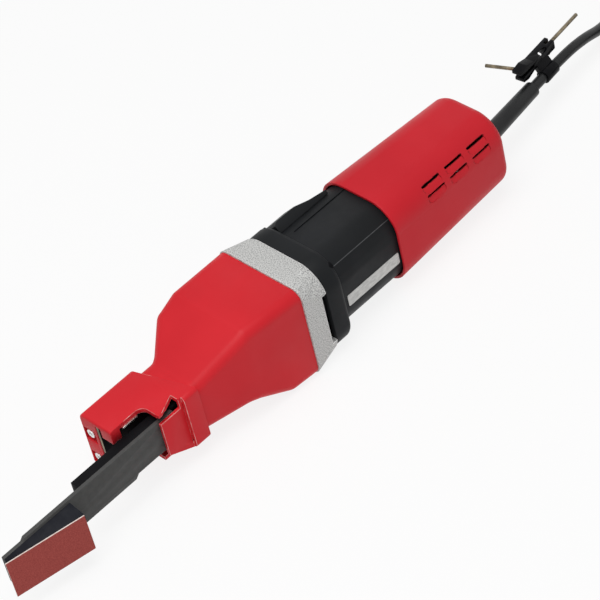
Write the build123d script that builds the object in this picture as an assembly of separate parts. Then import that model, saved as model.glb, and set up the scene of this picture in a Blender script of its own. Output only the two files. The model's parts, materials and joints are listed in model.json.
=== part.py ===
from build123d import *
from math import acos, atan2, cos, degrees, dist, hypot, pi, radians, sin, sqrt, tan
import os

# Finger sander, in millimetres. +X runs to the cord, +Z is up and -Y is the side where the nose is open.
# The origin lies on the plane that the tool rests on, under the middle of the aluminium ring.

# Housings, from the ring both ways
BARREL_SIZE = 67.0
RING_STEP = 6.5
RING_LENGTH = 21.0
RING_CORNER_FRONT = 9.5
RING_CORNER = 22.0
RING_SKIM = 0.1
RING_WALL = 6.0
RING_BORE_CORNER = 20.0
RING_FRONT_WALL = 4.0
AIR_SLOT_WIDTH = 4.5
AIR_SLOT_HEIGHT = 44.0
FLANGE_LENGTH = 16.0
FLANGE_INSET = 0.5
FLANGE_WALL = 5.0
FLANGE_EDGE = 4.0
FLANGE_BACK_WALL = 3.0
BARREL_CORNER = 22.0
BARREL_LENGTH = 58.0
BARREL_WALL = 3.0
BARREL_SPIGOT = 6.0
GROOVE_Y = 11.0
GROOVE_WIDTH = 1.2
GROOVE_DEPTH = 0.8
GROOVE_START = 8.0
CAP_STEP = 2.75
CAP_TAPER = 3.75
CAP_CORNER = 23.0
CAP_LENGTH = 116.0
CAP_WALL = 2.2
CAP_REAR_WALL = 3.0
CAP_EDGE = 7.0

# Gear head and its neck
HEAD_STEP = 1.0
HEAD_LENGTH = 104.0
HEAD_WALL = 4.0
HEAD_EDGE = 8.0
HEAD_CAVITY = 84.0
TOP_SLOPE_START = 47.0
TOP_SLOPE_END = 91.0
SHOULDER_START = 63.0
SHOULDER_END = 87.0
SHOULDER_ROUND = 9.0
FLARE_START = 22.0
FLARE_END = 52.0
FLARE_ROUND = 24.0
NEAR_BEND = 50.0
NEAR_BEND_IN = 4.0
NEAR_BEND_ROUND = 40.0
NECK_NEAR = 25.0
NECK_FAR = 20.5
NECK_TOP = 19.0
NECK_BOTTOM = 23.5
NECK_EDGE = 5.0

# Nose cap
NOSE_LENGTH = 49.5
NOSE_SLEEVE = 2.5
NOSE_SLEEVE_FAR_END = 2.0
NOSE_SLEEVE_NEAR_END = 13.0
NOSE_SIDE_STEP = 3.0
NOSE_SIDE_WALL = 2.5
NOSE_TOP_WALL = 3.6
NOSE_FLOOR = 3.4
NOSE_EDGE = 3.5
NOSE_POCKET_FAR = 5.4
NOSE_CUT_LENGTH = 29.0
NOSE_CUT_Y = 8.0
NOSE_CUT_ROUND = 6.0
NOSE_LIP_LENGTH = 8.0
NOSE_LIP_Z = 10.0
NOSE_SLOT_LENGTH = 18.0
NOSE_SLOT_HEIGHT = 6.0
NOSE_SLOT_Z = 13.0
NOSE_TAB = 3.0
NOSE_NOTCH = 7.0
NOSE_RECESS_DEPTH = 3.5
NOSE_RECESS_WIDTH = 11.0
NOSE_RIB = 5.0
GUIDE_THICKNESS = 2.5
NOSE_SCREW_SINK = 0.3
NOSE_SCREW_Y = 16.5
NOSE_SCREW_TOP = 5.5
NOSE_SCREW_PITCH = 23.0
NOSE_SCREW_REACH = 12.0

# Finger: arm, blade, shoe and abrasive
ARM_THICKNESS = 7.3
ARM_TOP = 13.5
ARM_BOTTOM = 15.5
ARM_REACH = 195.0
ARM_STEP = 3.0
ARM_STEP_REACH = 150.0
BLADE_THICKNESS = 3.0
BLADE_ROOT = 110.5
BLADE_TIP = 264.0
BLADE_TIP_STEP = 2.5
BLADE_TIP_LENGTH = 19.0
BLADE_TIP_ROUND = 4.0
BLADE_ROOT_ROUND = 2.0
SHOE_LENGTH = 58.0
SHOE_YAW = 12.0
SHOE_TIP_THICKNESS = 0.9
STRIP_LENGTH = 60.0
STRIP_HEIGHT = 32.0
STRIP_TOP = 8.0
STRIP_THICKNESS = 0.9
STRIP_OVERHANG = 1.2
PIVOT_REACH = 97.5
PIVOT_DIAMETER = 8.0
PIVOT_FAR_GRIP = 12.0
BUSH_DIAMETER = 12.0
FINGER_SCREW_X = 117.5
FINGER_SCREW_PITCH = 14.0

# Gear pair and eccentric
GEAR_MODULE = 0.75
PINION_TEETH = 11
GEAR_TEETH = 29
PRESSURE_ANGLE = 25.0
ADDENDUM = 0.9
DEDENDUM = 1.2
BACKLASH = 0.16
GEAR_WIDTH = 5.0
GEAR_WEB = 2.4
PINION_BORE = 5.0
GEAR_BORE = 7.0
THROW = 1.0
SHAFT_DIAMETER = 8.0
SHAFT_BEARING = 16.0
SHAFT_BEARING_WIDTH = 5.0
BOSS_LENGTH = 30.0
BOSS_WALL = 4.0
ECCENTRIC_GAP = 4.0
FORK_JAW = 5.5
FORK_OVERLAP = 2.0
FORK_TIP_ROUND = 2.0
SWING_DEGREES = 0.95

# Motor
PLATE_THICKNESS = 6.0
ARMATURE_DIAMETER = 34.0
CORE_LENGTH = 38.0
CORE_START = 24.0
CORE_SLOTS = 12
CORE_SLOT_WIDTH = 3.2
CORE_SLOT_DEPTH = 7.0
AIR_GAP = 0.7
SHAFT_CORE_DIAMETER = 10.0
WINDING_LENGTH = 9.0
WINDING_OUTER = 31.0
FIELD_THICKNESS = 7.0
FIELD_OVERHANG = 6.5
POLE_WIDTH = 28.5
COMMUTATOR_DIAMETER = 22.0
COMMUTATOR_LENGTH = 18.0
COMMUTATOR_BARS = 16
COMMUTATOR_GROOVE = 0.6
FRONT_BEARING = 19.0
FRONT_BEARING_BORE = 8.0
REAR_BEARING = 19.0
REAR_BEARING_BORE = 7.0
BEARING_WIDTH = 6.0
FAN_GAP = 0.5
FAN_LENGTH = 10.0
FAN_BLADES = 11
FAN_BLADE_THICKNESS = 1.4
FAN_DISC = 2.0
FAN_HUB = 18.0
CARRIER_THICKNESS = 4.0
CARRIER_RIB_WIDTH = 12.0
CARRIER_RIB_HEIGHT = 6.0
CUP_WALL = 5.0
CUP_END_WALL = 2.0
BRUSH_WIDTH = 7.0
BRUSH_HEIGHT = 5.0
BRUSH_LENGTH = 13.0
BRUSH_WALL = 0.8
BRUSH_BOX_LENGTH = 16.0
SPRING_DIAMETER = 5.0

# Switch, chassis and fasteners
SLIDER_LENGTH = 48.0
SLIDER_WIDTH = 20.0
SLIDER_RISE = 6.0
SLIDER_TOE_RISE = 1.0
SLIDER_RIDGE = 21.0
SLIDER_SLOPE = 12.0
SLIDER_GAP = 2.0
SLIDER_TRAVEL = 7.0
SLIDER_STEM = 6.0
ROD_DIAMETER = 3.2
CHASSIS_LENGTH = 68.0
CHASSIS_WIDTH = 40.0
CHASSIS_THICKNESS = 3.0
SWITCH_GAP = 9.0
SWITCH_LENGTH = 34.0
SWITCH_WIDTH = 24.0
SWITCH_HEIGHT = 20.0
CAPACITOR_DIAMETER = 11.0
CAPACITOR_LENGTH = 26.0
CLAMP_WIDTH = 8.0
CLAMP_SPAN = 26.0
CLAMP_THICKNESS = 3.5
CLAMP_PITCH = 18.0
CLAMP_GATE_PLAY = 1.0
POST_SIZE = 9.0
VENT_LENGTH = 18.0
VENT_PITCH = 24.0
VENT_WIDTH = 1.8
VENT_DEPTH = 1.2
VENT_RIM = 0.3
VENT_RAMP = 13.0
VENT_COUNT = 3
VENT_START = 35.0
VENT_ANGLES = (22.0, 42.0)
SCREW_M4 = 4.0
SCREW_M4_HEAD = 7.0
SCREW_M4_HEAD_HEIGHT = 4.0
SCREW_M3 = 3.0
SCREW_M3_HEAD = 5.5
SCREW_M3_HEAD_HEIGHT = 2.4
FLANGE_SCREW_LENGTH = 24.0
PLATE_SCREW_CIRCLE = 52.0
PLATE_SCREW_ANGLES = (60.0, 120.0, 270.0)

# Lead
CORD_DIAMETER = 8.0
CORD_TILT = 7.0
CORD_RISE = 19.9
RELIEF_DIAMETER = 14.0
RELIEF_TIP = 12.2
RELIEF_LENGTH = 73.4
RELIEF_BEVEL = 1.5
RELIEF_COLLAR = 18.0
CORD_INSIDE = 39.0
CLIP_DIAMETER = 11.0
CLIP_LENGTH = 14.0
CLIP_GAP = 12.5
CLIP_END = 10.5
HOLDER_FRONT = 6.5
HOLDER_LENGTH = 43.0
HOLDER_WIDTH = 8.0
HOLDER_HEIGHT = 8.0
HOLDER_RISE = 11.8
HOLDER_ACROSS = 8.0
HOLDER_WEB = 5.0
HOLDER_EDGE = 1.2
FORK_LENGTH = 16.5
FORK_MOUTH = 5.2
FORK_FLARE = 2.4
FORK_PRONG = 2.6
WINDOW_START = 29.0
WINDOW_LENGTH = 9.0
WINDOW_WIDTH = 3.0
WINDOW_SLANT = 41.0
FLOOR_HEIGHT = 4.2
KEY_SIZE = 2.5
KEY_BEND = 4.0
FORK_KEY_LEG = 30.0
FORK_KEY_SHORT_LEG = 6.5
FORK_KEY_ANGLE = 22.0
FORK_KEY_INSET = 9.0
REAR_KEY_SHORT_LEG = 8.0
REAR_KEY_LEG = 39.0
REAR_KEY_INSET = 4.0
COIL_MEAN_RADIUS = 48.2
COIL_WHOLE_TURNS = 7
COIL_PITCH = 8.7
COIL_LAYER = 8.7
COIL_EXIT_HEADING = 180.0
COIL_TAIL = 28.0
PLUG_NECK = 12.0
PLUG_NECK_ROOT = 16.0
PLUG_NECK_LENGTH = 20.0
PLUG_CORNER = 11.7
PLUG_EDGE = 2.5
PLUG_LENGTH = 40.0
PLUG_WIDTH = 36.0
PLUG_LIFT = 0.1
PIN_DIAMETER = 4.8
PIN_LENGTH = 19.0
PIN_PITCH = 19.0
PIN_TIP = 1.2
PIN_ROOT = 12.0
PIN_ROOT_DIAMETER = 4.0

# Clearances
SEAT = 0.02
RUNNING = 0.05
BEARING_PLAY = 0.08
LOOSE = 0.3
SIDE_PLAY = 0.4

# Sizes that follow the barrel
ring_size = BARREL_SIZE + 2 * RING_STEP
flange_size = ring_size - 2 * FLANGE_INSET
head_size = ring_size - 2 * HEAD_STEP
barrel_bore = BARREL_SIZE - 2 * BARREL_WALL
flange_bore = ring_size - 2 * FLANGE_WALL
fan_diameter = barrel_bore - 2 * FAN_GAP
cap_front_size = BARREL_SIZE + 2 * CAP_STEP
cap_rear_size = cap_front_size - 2 * CAP_TAPER

# Stations along the tool
axis_z = ring_size / 2
x_ring_front = -RING_LENGTH / 2
x_ring_rear = RING_LENGTH / 2
x_flange_rear = x_ring_rear + FLANGE_LENGTH
x_cap_front = x_flange_rear + BARREL_LENGTH
x_cap_rear = x_cap_front + CAP_LENGTH
x_neck_front = x_ring_front - HEAD_LENGTH
x_nose_front = x_neck_front - NOSE_LENGTH
x_pivot = x_ring_front - PIVOT_REACH


def station(x, y=0.0, z=0.0):
    """Plane across the tool at x, with y and z counted from the motor axis."""
    return Plane((x, y, axis_z + z), x_dir=(0, 1, 0), z_dir=(1, 0, 0))


def side_plane(y):
    """Plane along the tool at y, drawn in x and z; it faces -Y."""
    return Plane((0, y, axis_z), x_dir=(1, 0, 0), z_dir=(0, -1, 0))


def plan_plane(z):
    """Plane seen from above at z from the motor axis, drawn in x and y."""
    return Plane((0, 0, axis_z + z), x_dir=(1, 0, 0), z_dir=(0, 0, 1))


def disc(diameter, x_start, x_end, y=0.0, z=0.0):
    return extrude(station(x_start, y, z) * Circle(diameter / 2), x_end - x_start)


def ring(outer, inner, x_start, x_end, y=0.0, z=0.0):
    face = Circle(outer / 2) - Circle(inner / 2)
    return extrude(station(x_start, y, z) * face, x_end - x_start)


def bar(width, height, corner, x_start, x_end, y=0.0, z=0.0):
    return extrude(station(x_start, y, z) * RectangleRounded(width, height, corner), x_end - x_start)


def slab(x_start, x_end, y_start, y_end, z_start, z_end):
    size = (x_end - x_start, y_end - y_start, z_end - z_start)
    low = Pos(x_start, y_start, axis_z + z_start)
    return low * Box(*size, align=(Align.MIN, Align.MIN, Align.MIN))


def rounded_face(points):
    """Face through points of (u, v, corner radius)."""
    places = [(u, v) for u, v, r in points]
    return make_face(FilletPolyline(*places, radius=[r for u, v, r in points], close=True))


def cross_pin(diameter, x, z, y_start, y_end):
    return extrude(side_plane(y_end) * Pos(x, z) * Circle(diameter / 2), y_end - y_start)


def polar(radius, angle):
    return (radius * cos(radians(angle)), radius * sin(radians(angle)))


def write(name, shape):
    export_step(shape, f"parts/{name}.step")


def group(solids):
    return Compound(children=list(solids))


def socket_screw(x_head, direction, y, z, length, diameter, head, head_height):
    """Socket-head screw along X: its head's underside is at x_head and it runs along direction."""
    frame = Plane((x_head, y, axis_z + z), x_dir=(0, 1, 0), z_dir=(direction, 0, 0))
    shank = extrude(frame * Circle(diameter / 2), length)
    top = extrude(frame * Circle(head / 2), -head_height)
    socket = extrude(frame.offset(-head_height) * RegularPolygon(head / 4, 6), head_height / 2)
    return shank + top - socket


# Gear pair: the eccentric shaft stands off the motor axis by the gears' centre distance
centre_distance = GEAR_MODULE * (PINION_TEETH + GEAR_TEETH) / 2
y_shaft = -centre_distance
x_wall_rear = x_ring_front + RING_FRONT_WALL
x_gear = x_wall_rear + SIDE_PLAY
x_gear_end = x_gear + GEAR_WIDTH
x_plate = x_gear_end + 2 * SIDE_PLAY
x_plate_end = x_plate + PLATE_THICKNESS
x_boss = x_ring_front - BOSS_LENGTH


def involute_gear(teeth, bore, x_start, x_end, y, phase):
    """Spur gear with involute flanks of four points each; phase turns its first tooth from +Y."""
    pitch_r = GEAR_MODULE * teeth / 2
    base_r = pitch_r * cos(radians(PRESSURE_ANGLE))
    tip_r = pitch_r + ADDENDUM * GEAR_MODULE
    root_r = pitch_r - DEDENDUM * GEAR_MODULE
    start_r = max(base_r, root_r + 0.1 * GEAR_MODULE)

    def roll(r):
        """Involute angle at radius r, in radians."""
        slant = acos(min(1.0, base_r / r))
        return tan(slant) - slant

    half_tooth = pi / (2 * teeth) - BACKLASH / (4 * pitch_r)
    flank = [start_r + (tip_r - start_r) * i / 3 for i in range(4)]
    outline = []
    for tooth in range(teeth):
        middle = radians(phase) + 2 * pi * tooth / teeth
        rising = [(r, middle - half_tooth - roll(pitch_r) + roll(r)) for r in flank]
        falling = [(r, 2 * middle - a) for r, a in reversed(rising)]
        root_in = (root_r, rising[0][1])
        root_out = (root_r, falling[-1][1])
        outline += [root_in, *rising, *falling, root_out]
    points = [(r * cos(a), r * sin(a)) for r, a in outline]
    face = make_face(Polyline(*points, close=True)) - Circle(bore / 2)
    return extrude(station(x_start, y) * face, x_end - x_start)


# Gear head: the plan view and the side view, each extruded, meet in the outer form
def head_form(inset, x_back, x_front, edge):
    half = head_size / 2 - inset
    x0 = x_ring_front
    plan = [
        (x_back, -half, 0),
        (x0 - NEAR_BEND, NEAR_BEND_IN - half, NEAR_BEND_ROUND),
        (x0 - TOP_SLOPE_END, -NECK_NEAR + inset, 0),
        (x_front, -NECK_NEAR + inset, 0),
        (x_front, NECK_FAR - inset, 0),
        (x0 - SHOULDER_END, NECK_FAR - inset, SHOULDER_ROUND),
        (x0 - SHOULDER_START, half, SHOULDER_ROUND),
        (x_back, half, 0),
    ]
    side = [
        (x_back, half, 0),
        (x0 - TOP_SLOPE_START, half, SHOULDER_ROUND),
        (x0 - TOP_SLOPE_END, NECK_TOP - inset, SHOULDER_ROUND),
        (x_front, NECK_TOP - inset, 0),
        (x_front, -NECK_BOTTOM + inset, 0),
        (x0 - FLARE_END, -NECK_BOTTOM + inset, FLARE_ROUND),
        (x0 - FLARE_START, -half, FLARE_ROUND / 2),
        (x_back, -half, 0),
    ]
    from_above = extrude(plan_plane(-head_size) * rounded_face(plan), 2 * head_size)
    from_side = extrude(side_plane(head_size) * rounded_face(side), 2 * head_size)
    form = from_above & from_side
    if edge > 0:
        long_edges = [e for e in form.edges() if abs(e.tangent_at(0.5).X) > 0.3]
        form = fillet(long_edges, edge)
    return form


def neck_bar(grow, x_start, x_end, corner):
    """The neck's section, grown all round."""
    width = NECK_NEAR + NECK_FAR + 2 * grow
    height = NECK_TOP + NECK_BOTTOM + 2 * grow
    y = (NECK_FAR - NECK_NEAR) / 2
    z = (NECK_TOP - NECK_BOTTOM) / 2
    return bar(width, height, corner, x_start, x_end, y, z)


# The finger lies in one upright plane with the eccentric shaft
y_arm_far = y_shaft + ARM_THICKNESS / 2
y_arm_near = y_shaft - ARM_THICKNESS / 2
y_blade_near = y_arm_near - SEAT - BLADE_THICKNESS
x_arm_tip = x_ring_front - ARM_REACH
x_arm_step = x_ring_front - ARM_STEP_REACH
x_eccentric_end = x_boss - ECCENTRIC_GAP
x_eccentric = x_eccentric_end - SHAFT_BEARING_WIDTH
x_fork_rear = x_eccentric_end + FORK_OVERLAP
x_fork_root = x_eccentric - 2 * FORK_OVERLAP
fork_half = SHAFT_BEARING / 2 + 2 * THROW + LOOSE
fork_outer = fork_half + FORK_JAW
swing_room = (x_fork_rear - x_pivot) * sin(radians(SWING_DEGREES)) + LOOSE


def make_head_cover():
    body = head_form(0, x_ring_front - SEAT, x_neck_front, HEAD_EDGE)
    cavity = head_form(HEAD_WALL, x_ring_front, x_neck_front, 0)
    cavity -= slab(x_neck_front, x_ring_front - HEAD_CAVITY, -ring_size, ring_size, -ring_size, ring_size)
    y_low = y_arm_near - SIDE_PLAY
    y_high = y_arm_far + SIDE_PLAY
    z_low = -ARM_BOTTOM - swing_room
    z_high = ARM_TOP + swing_room
    slot = slab(x_neck_front, x_ring_front - HEAD_CAVITY, y_low, y_high, z_low, z_high)
    pin_hole = cross_pin(PIVOT_DIAMETER + 2 * SEAT, x_pivot, 0, -NECK_NEAR, y_high + PIVOT_FAR_GRIP)
    body = body - cavity - slot - pin_hole
    for z in nose_screw_heights:
        body -= disc(SCREW_M4 + 2 * SEAT, x_neck_front, x_neck_front + NOSE_SCREW_REACH, NOSE_SCREW_Y, z)
    return body


nose_screw_heights = (NOSE_SCREW_TOP, NOSE_SCREW_TOP - NOSE_SCREW_PITCH)
nose_near = NECK_NEAR + NOSE_SLEEVE - NOSE_SIDE_STEP
nose_top = NECK_TOP + NOSE_SLEEVE
nose_bottom = NECK_BOTTOM + NOSE_SLEEVE
x_cut = x_nose_front + NOSE_CUT_LENGTH
x_nose_screw = x_nose_front + NOSE_SCREW_SINK + SCREW_M4_HEAD_HEIGHT


def make_nose_cover():
    x_far_end = x_neck_front - NOSE_SLEEVE_FAR_END
    x_near_end = x_neck_front + NOSE_SLEEVE_NEAR_END
    body = neck_bar(NOSE_SLEEVE, x_nose_front, x_near_end, NOSE_EDGE)
    far = NECK_FAR + NOSE_SLEEVE
    beyond = 2 * ring_size
    slant = [(x_far_end, far), (x_near_end, -NECK_NEAR - NOSE_SLEEVE), (x_near_end, far)]
    rear_cut = make_face(Polyline(*slant, close=True))
    body -= extrude(plan_plane(-beyond) * rear_cut, 2 * beyond)
    body -= slab(x_nose_front, x_neck_front, -beyond, -nose_near, -beyond, beyond)
    body -= neck_bar(SEAT, x_neck_front, x_near_end, NECK_EDGE)
    # pocket for the finger, with a lip left above it at the front
    inner_near = -nose_near + NOSE_SIDE_WALL
    pocket_top = nose_top - NOSE_TOP_WALL
    floor = -nose_bottom + NOSE_FLOOR
    x_lip = x_nose_front + NOSE_LIP_LENGTH
    body -= slab(x_lip, x_neck_front, inner_near, NOSE_POCKET_FAR, floor, pocket_top)
    body -= slab(x_nose_front, x_lip, inner_near, NOSE_POCKET_FAR, floor, NOSE_LIP_Z)
    # near side and top cut away round the finger, floor cut away under it
    open_plan = [
        (x_nose_front, -beyond, 0),
        (x_cut, -beyond, 0),
        (x_cut, -NOSE_CUT_Y, NOSE_CUT_ROUND),
        (x_nose_front, -NOSE_CUT_Y, 0),
    ]
    body -= extrude(plan_plane(floor) * rounded_face(open_plan), beyond)
    body -= slab(x_nose_front, x_cut, -beyond, NOSE_POCKET_FAR, -beyond, floor)
    x_slot = x_cut + NOSE_SLOT_LENGTH
    body -= slab(x_cut, x_slot, -beyond, inner_near, NOSE_SLOT_Z, NOSE_SLOT_Z + NOSE_SLOT_HEIGHT)
    notch_plan = [
        (x_cut + NOSE_TAB, -beyond),
        (x_slot, -beyond),
        (x_slot, NOSE_NOTCH - nose_near),
        (x_cut + NOSE_TAB, -nose_near),
    ]
    body -= extrude(plan_plane(NOSE_SLOT_Z) * make_face(Polyline(*notch_plan, close=True)), beyond)
    # front recess with a rib between the two screws
    x_seat = x_nose_front + NOSE_RECESS_DEPTH
    y_low = NOSE_SCREW_Y - NOSE_RECESS_WIDTH / 2
    y_high = NOSE_SCREW_Y + NOSE_RECESS_WIDTH / 2
    reach = (NOSE_SCREW_PITCH - NOSE_RIB) / 2
    for z in nose_screw_heights:
        low = z - min(reach, SCREW_M4_HEAD)
        body -= slab(x_nose_front, x_seat, y_low, y_high, low, z + SCREW_M4_HEAD / 2 + 1)
        body -= disc(SCREW_M4 + 2 * LOOSE, x_nose_front, x_neck_front, NOSE_SCREW_Y, z)
        head_room = SCREW_M4_HEAD + 2 * LOOSE
        body -= disc(head_room, x_nose_front, x_nose_screw, NOSE_SCREW_Y, z)
    return body - guide_box(x_nose_front, NOSE_POCKET_FAR - GUIDE_THICKNESS, SEAT)


def guide_box(x_start, y_start, grow):
    """Box of the steel plate in the far wall of the pocket, grown where it is seated."""
    x_end = x_neck_front - LOOSE + grow
    z_low = -nose_bottom + NOSE_FLOOR - grow
    z_high = nose_top - NOSE_TOP_WALL + grow
    return slab(x_start, x_end, y_start, NOSE_POCKET_FAR + GUIDE_THICKNESS + grow, z_low, z_high)


def make_guide_plate():
    return guide_box(x_nose_front + SIDE_PLAY, NOSE_POCKET_FAR, 0.0)


def make_nose_screws():
    length = x_neck_front + NOSE_SCREW_REACH - x_nose_screw - LOOSE
    size = (SCREW_M4, SCREW_M4_HEAD, SCREW_M4_HEAD_HEIGHT)
    return group(socket_screw(x_nose_screw, 1, NOSE_SCREW_Y, z, length, *size) for z in nose_screw_heights)


# Finger pieces
def make_finger_arm():
    outline = [
        (x_fork_rear, fork_outer, FORK_TIP_ROUND),
        (x_fork_rear, fork_half, 0),
        (x_fork_root, fork_half, FORK_JAW),
        (x_fork_root, -fork_half, FORK_JAW),
        (x_fork_rear, -fork_half, 0),
        (x_fork_rear, -fork_outer, FORK_TIP_ROUND),
        (x_fork_root - fork_half, ARM_STEP - ARM_BOTTOM, FORK_JAW),
        (x_arm_step, ARM_STEP - ARM_BOTTOM, 0),
        (x_arm_step - ARM_STEP, -ARM_BOTTOM, 0),
        (x_arm_tip, -ARM_BOTTOM, 0),
        (x_arm_tip, ARM_TOP, 0),
        (x_fork_root - fork_half, ARM_TOP, FORK_JAW),
    ]
    arm = extrude(side_plane(y_arm_far) * rounded_face(outline), ARM_THICKNESS)
    arm -= cross_pin(BUSH_DIAMETER + 2 * SEAT, x_pivot, 0, y_arm_near, y_arm_far)
    for z in finger_screw_heights:
        arm -= cross_pin(SCREW_M4 + 2 * SEAT, x_finger_screw, z, y_arm_near, y_arm_far)
    return arm


x_finger_screw = x_ring_front - FINGER_SCREW_X
finger_screw_heights = (FINGER_SCREW_PITCH / 2, -FINGER_SCREW_PITCH / 2)
x_blade_tip = x_ring_front - BLADE_TIP


def make_finger_blade():
    x_root = x_ring_front - BLADE_ROOT
    outline = [
        (x_root, ARM_TOP, BLADE_ROOT_ROUND),
        (x_blade_tip + BLADE_TIP_LENGTH, ARM_TOP, 0),
        (x_blade_tip + BLADE_TIP_LENGTH - BLADE_TIP_STEP, ARM_TOP - BLADE_TIP_STEP, 0),
        (x_blade_tip, ARM_TOP - BLADE_TIP_STEP, 0),
        (x_blade_tip, -ARM_BOTTOM, BLADE_TIP_ROUND),
        (x_arm_step - ARM_STEP, -ARM_BOTTOM, 0),
        (x_arm_step, ARM_STEP - ARM_BOTTOM, 0),
        (x_root, ARM_STEP - ARM_BOTTOM, BLADE_ROOT_ROUND),
    ]
    blade = extrude(side_plane(y_arm_near - SEAT) * rounded_face(outline), BLADE_THICKNESS)
    for z in finger_screw_heights:
        blade -= cross_pin(SCREW_M4 + 2 * SEAT, x_finger_screw, z, y_blade_near, y_arm_near)
        head = SCREW_M4_HEAD + 2 * SEAT
        blade -= cross_pin(head, x_finger_screw, z, y_blade_near, y_blade_near + BLADE_THICKNESS / 2)
    return blade


def make_finger_screws():
    screws = []
    for z in finger_screw_heights:
        y_seat = y_blade_near + BLADE_THICKNESS / 2 - SEAT
        shank = cross_pin(SCREW_M4, x_finger_screw, z, y_seat, y_arm_far - SEAT)
        head = cross_pin(SCREW_M4_HEAD, x_finger_screw, z, y_blade_near, y_seat)
        place = side_plane(y_blade_near) * Pos(x_finger_screw, z)
        socket = extrude(place * RegularPolygon(SCREW_M4_HEAD / 4, 6), -BLADE_THICKNESS / 4)
        screws.append(shank + head - socket)
    return group(screws)


x_shoe_rear = x_blade_tip + SHOE_LENGTH
y_shoe_back = y_blade_near - SEAT
y_shoe_tip = y_shoe_back - SHOE_TIP_THICKNESS
y_shoe_rear = y_shoe_tip - SHOE_LENGTH * tan(radians(SHOE_YAW))
strip_bottom = STRIP_TOP - STRIP_HEIGHT


def make_sanding_shoe():
    def section(x, y_front):
        corners = [
            (y_shoe_back, strip_bottom),
            (y_front, strip_bottom),
            (y_front, STRIP_TOP),
            (y_shoe_back, ARM_TOP - BLADE_TIP_STEP),
        ]
        return station(x) * make_face(Polyline(*corners, close=True))

    return loft([section(x_blade_tip, y_shoe_tip), section(x_shoe_rear, y_shoe_rear)], ruled=True)


def make_abrasive_strip():
    front = Vector(x_blade_tip, y_shoe_tip)
    along = Vector(cos(radians(SHOE_YAW)), -sin(radians(SHOE_YAW)))
    out = Vector(-sin(radians(SHOE_YAW)), -cos(radians(SHOE_YAW)))
    start = front + out * SEAT - along * STRIP_OVERHANG
    end = start + along * STRIP_LENGTH
    corners = [start, end, end + out * STRIP_THICKNESS, start + out * STRIP_THICKNESS]
    face = make_face(Polyline(*[(c.X, c.Y) for c in corners], close=True))
    return extrude(plan_plane(strip_bottom) * face, STRIP_HEIGHT)


def make_pivot_pin():
    far = y_arm_far + SIDE_PLAY + PIVOT_FAR_GRIP - SEAT
    return cross_pin(PIVOT_DIAMETER, x_pivot, 0, -NECK_NEAR + SEAT, far)


def make_pivot_bush():
    y_low = y_arm_near - SIDE_PLAY / 2
    y_high = y_arm_far + SIDE_PLAY / 2
    bush = cross_pin(BUSH_DIAMETER, x_pivot, 0, y_low, y_high)
    return bush - cross_pin(PIVOT_DIAMETER + 2 * RUNNING, x_pivot, 0, y_low, y_high)


# Aluminium ring with the front wall and the boss of the eccentric shaft
x_air_slot = x_ring_rear - AIR_SLOT_WIDTH


def make_gear_ring():
    # cast a little oversize, then its four flats are machined true
    cast_size = ring_size + 2 * RING_SKIM
    front = station(x_ring_front) * RectangleRounded(cast_size, cast_size, RING_CORNER_FRONT)
    rear = station(x_ring_rear) * RectangleRounded(cast_size, cast_size, RING_CORNER)
    flat = ring_size / 2
    body = loft([front, rear], ruled=True) & slab(x_ring_front, x_ring_rear, -flat, flat, -flat, flat)
    inside = ring_size - 2 * RING_WALL
    body -= bar(inside, inside, RING_BORE_CORNER, x_wall_rear, x_ring_rear)
    body += disc(SHAFT_BEARING + 2 * BOSS_WALL, x_boss, x_ring_front, y_shaft)
    body -= disc(SHAFT_BEARING - 2, x_boss, x_wall_rear, y_shaft)
    for x in shaft_bearing_stations:
        body -= disc(SHAFT_BEARING + 2 * SEAT, x, x + SHAFT_BEARING_WIDTH, y_shaft)
    # air outlets on both sides at the rear edge
    half = AIR_SLOT_HEIGHT / 2
    body -= slab(x_air_slot, x_ring_rear, -ring_size, ring_size, -half, half)
    for y, z in flange_screw_places:
        body -= disc(SCREW_M4 + 2 * SEAT, x_wall_rear, x_ring_rear, y, z)
    for y, z in plate_screw_places:
        body -= disc(SCREW_M3 + 2 * SEAT, x_ring_front, x_wall_rear, y, z)
    return body


shaft_bearing_stations = (x_boss, x_wall_rear - SHAFT_BEARING_WIDTH)
corner_radius = (BARREL_SIZE / 2 - BARREL_CORNER) * sqrt(2) + BARREL_CORNER
flange_corner_radius = (ring_size / 2 - RING_CORNER) * sqrt(2) + RING_CORNER
flange_screw_offset = (corner_radius + flange_corner_radius) / 2 * sqrt(0.5)
flange_screw_places = [
    (flange_screw_offset * a, flange_screw_offset * b) for a in (-1, 1) for b in (-1, 1)
]
plate_screw_places = [polar(PLATE_SCREW_CIRCLE / 2, angle) for angle in PLATE_SCREW_ANGLES]


def make_shaft_rings(inner):
    solids = []
    split = (SHAFT_DIAMETER + SHAFT_BEARING) / 2
    for x in shaft_bearing_stations:
        end = x + SHAFT_BEARING_WIDTH
        if inner:
            solids.append(ring(split - BEARING_PLAY, SHAFT_DIAMETER + 2 * SEAT, x, end, y_shaft))
        else:
            solids.append(ring(SHAFT_BEARING, split + BEARING_PLAY, x, end, y_shaft))
    return group(solids)


def make_eccentric_shaft():
    shaft = disc(SHAFT_DIAMETER, x_eccentric_end, x_gear - SEAT, y_shaft)
    shaft += disc(GEAR_BORE, x_gear - SEAT, x_gear_end, y_shaft)
    return shaft + disc(SHAFT_DIAMETER, x_eccentric, x_eccentric_end, y_shaft - THROW)


def make_eccentric_bearing():
    end = x_eccentric_end - SEAT
    return ring(SHAFT_BEARING, SHAFT_DIAMETER + 2 * SEAT, x_eccentric, end, y_shaft - THROW)


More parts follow.
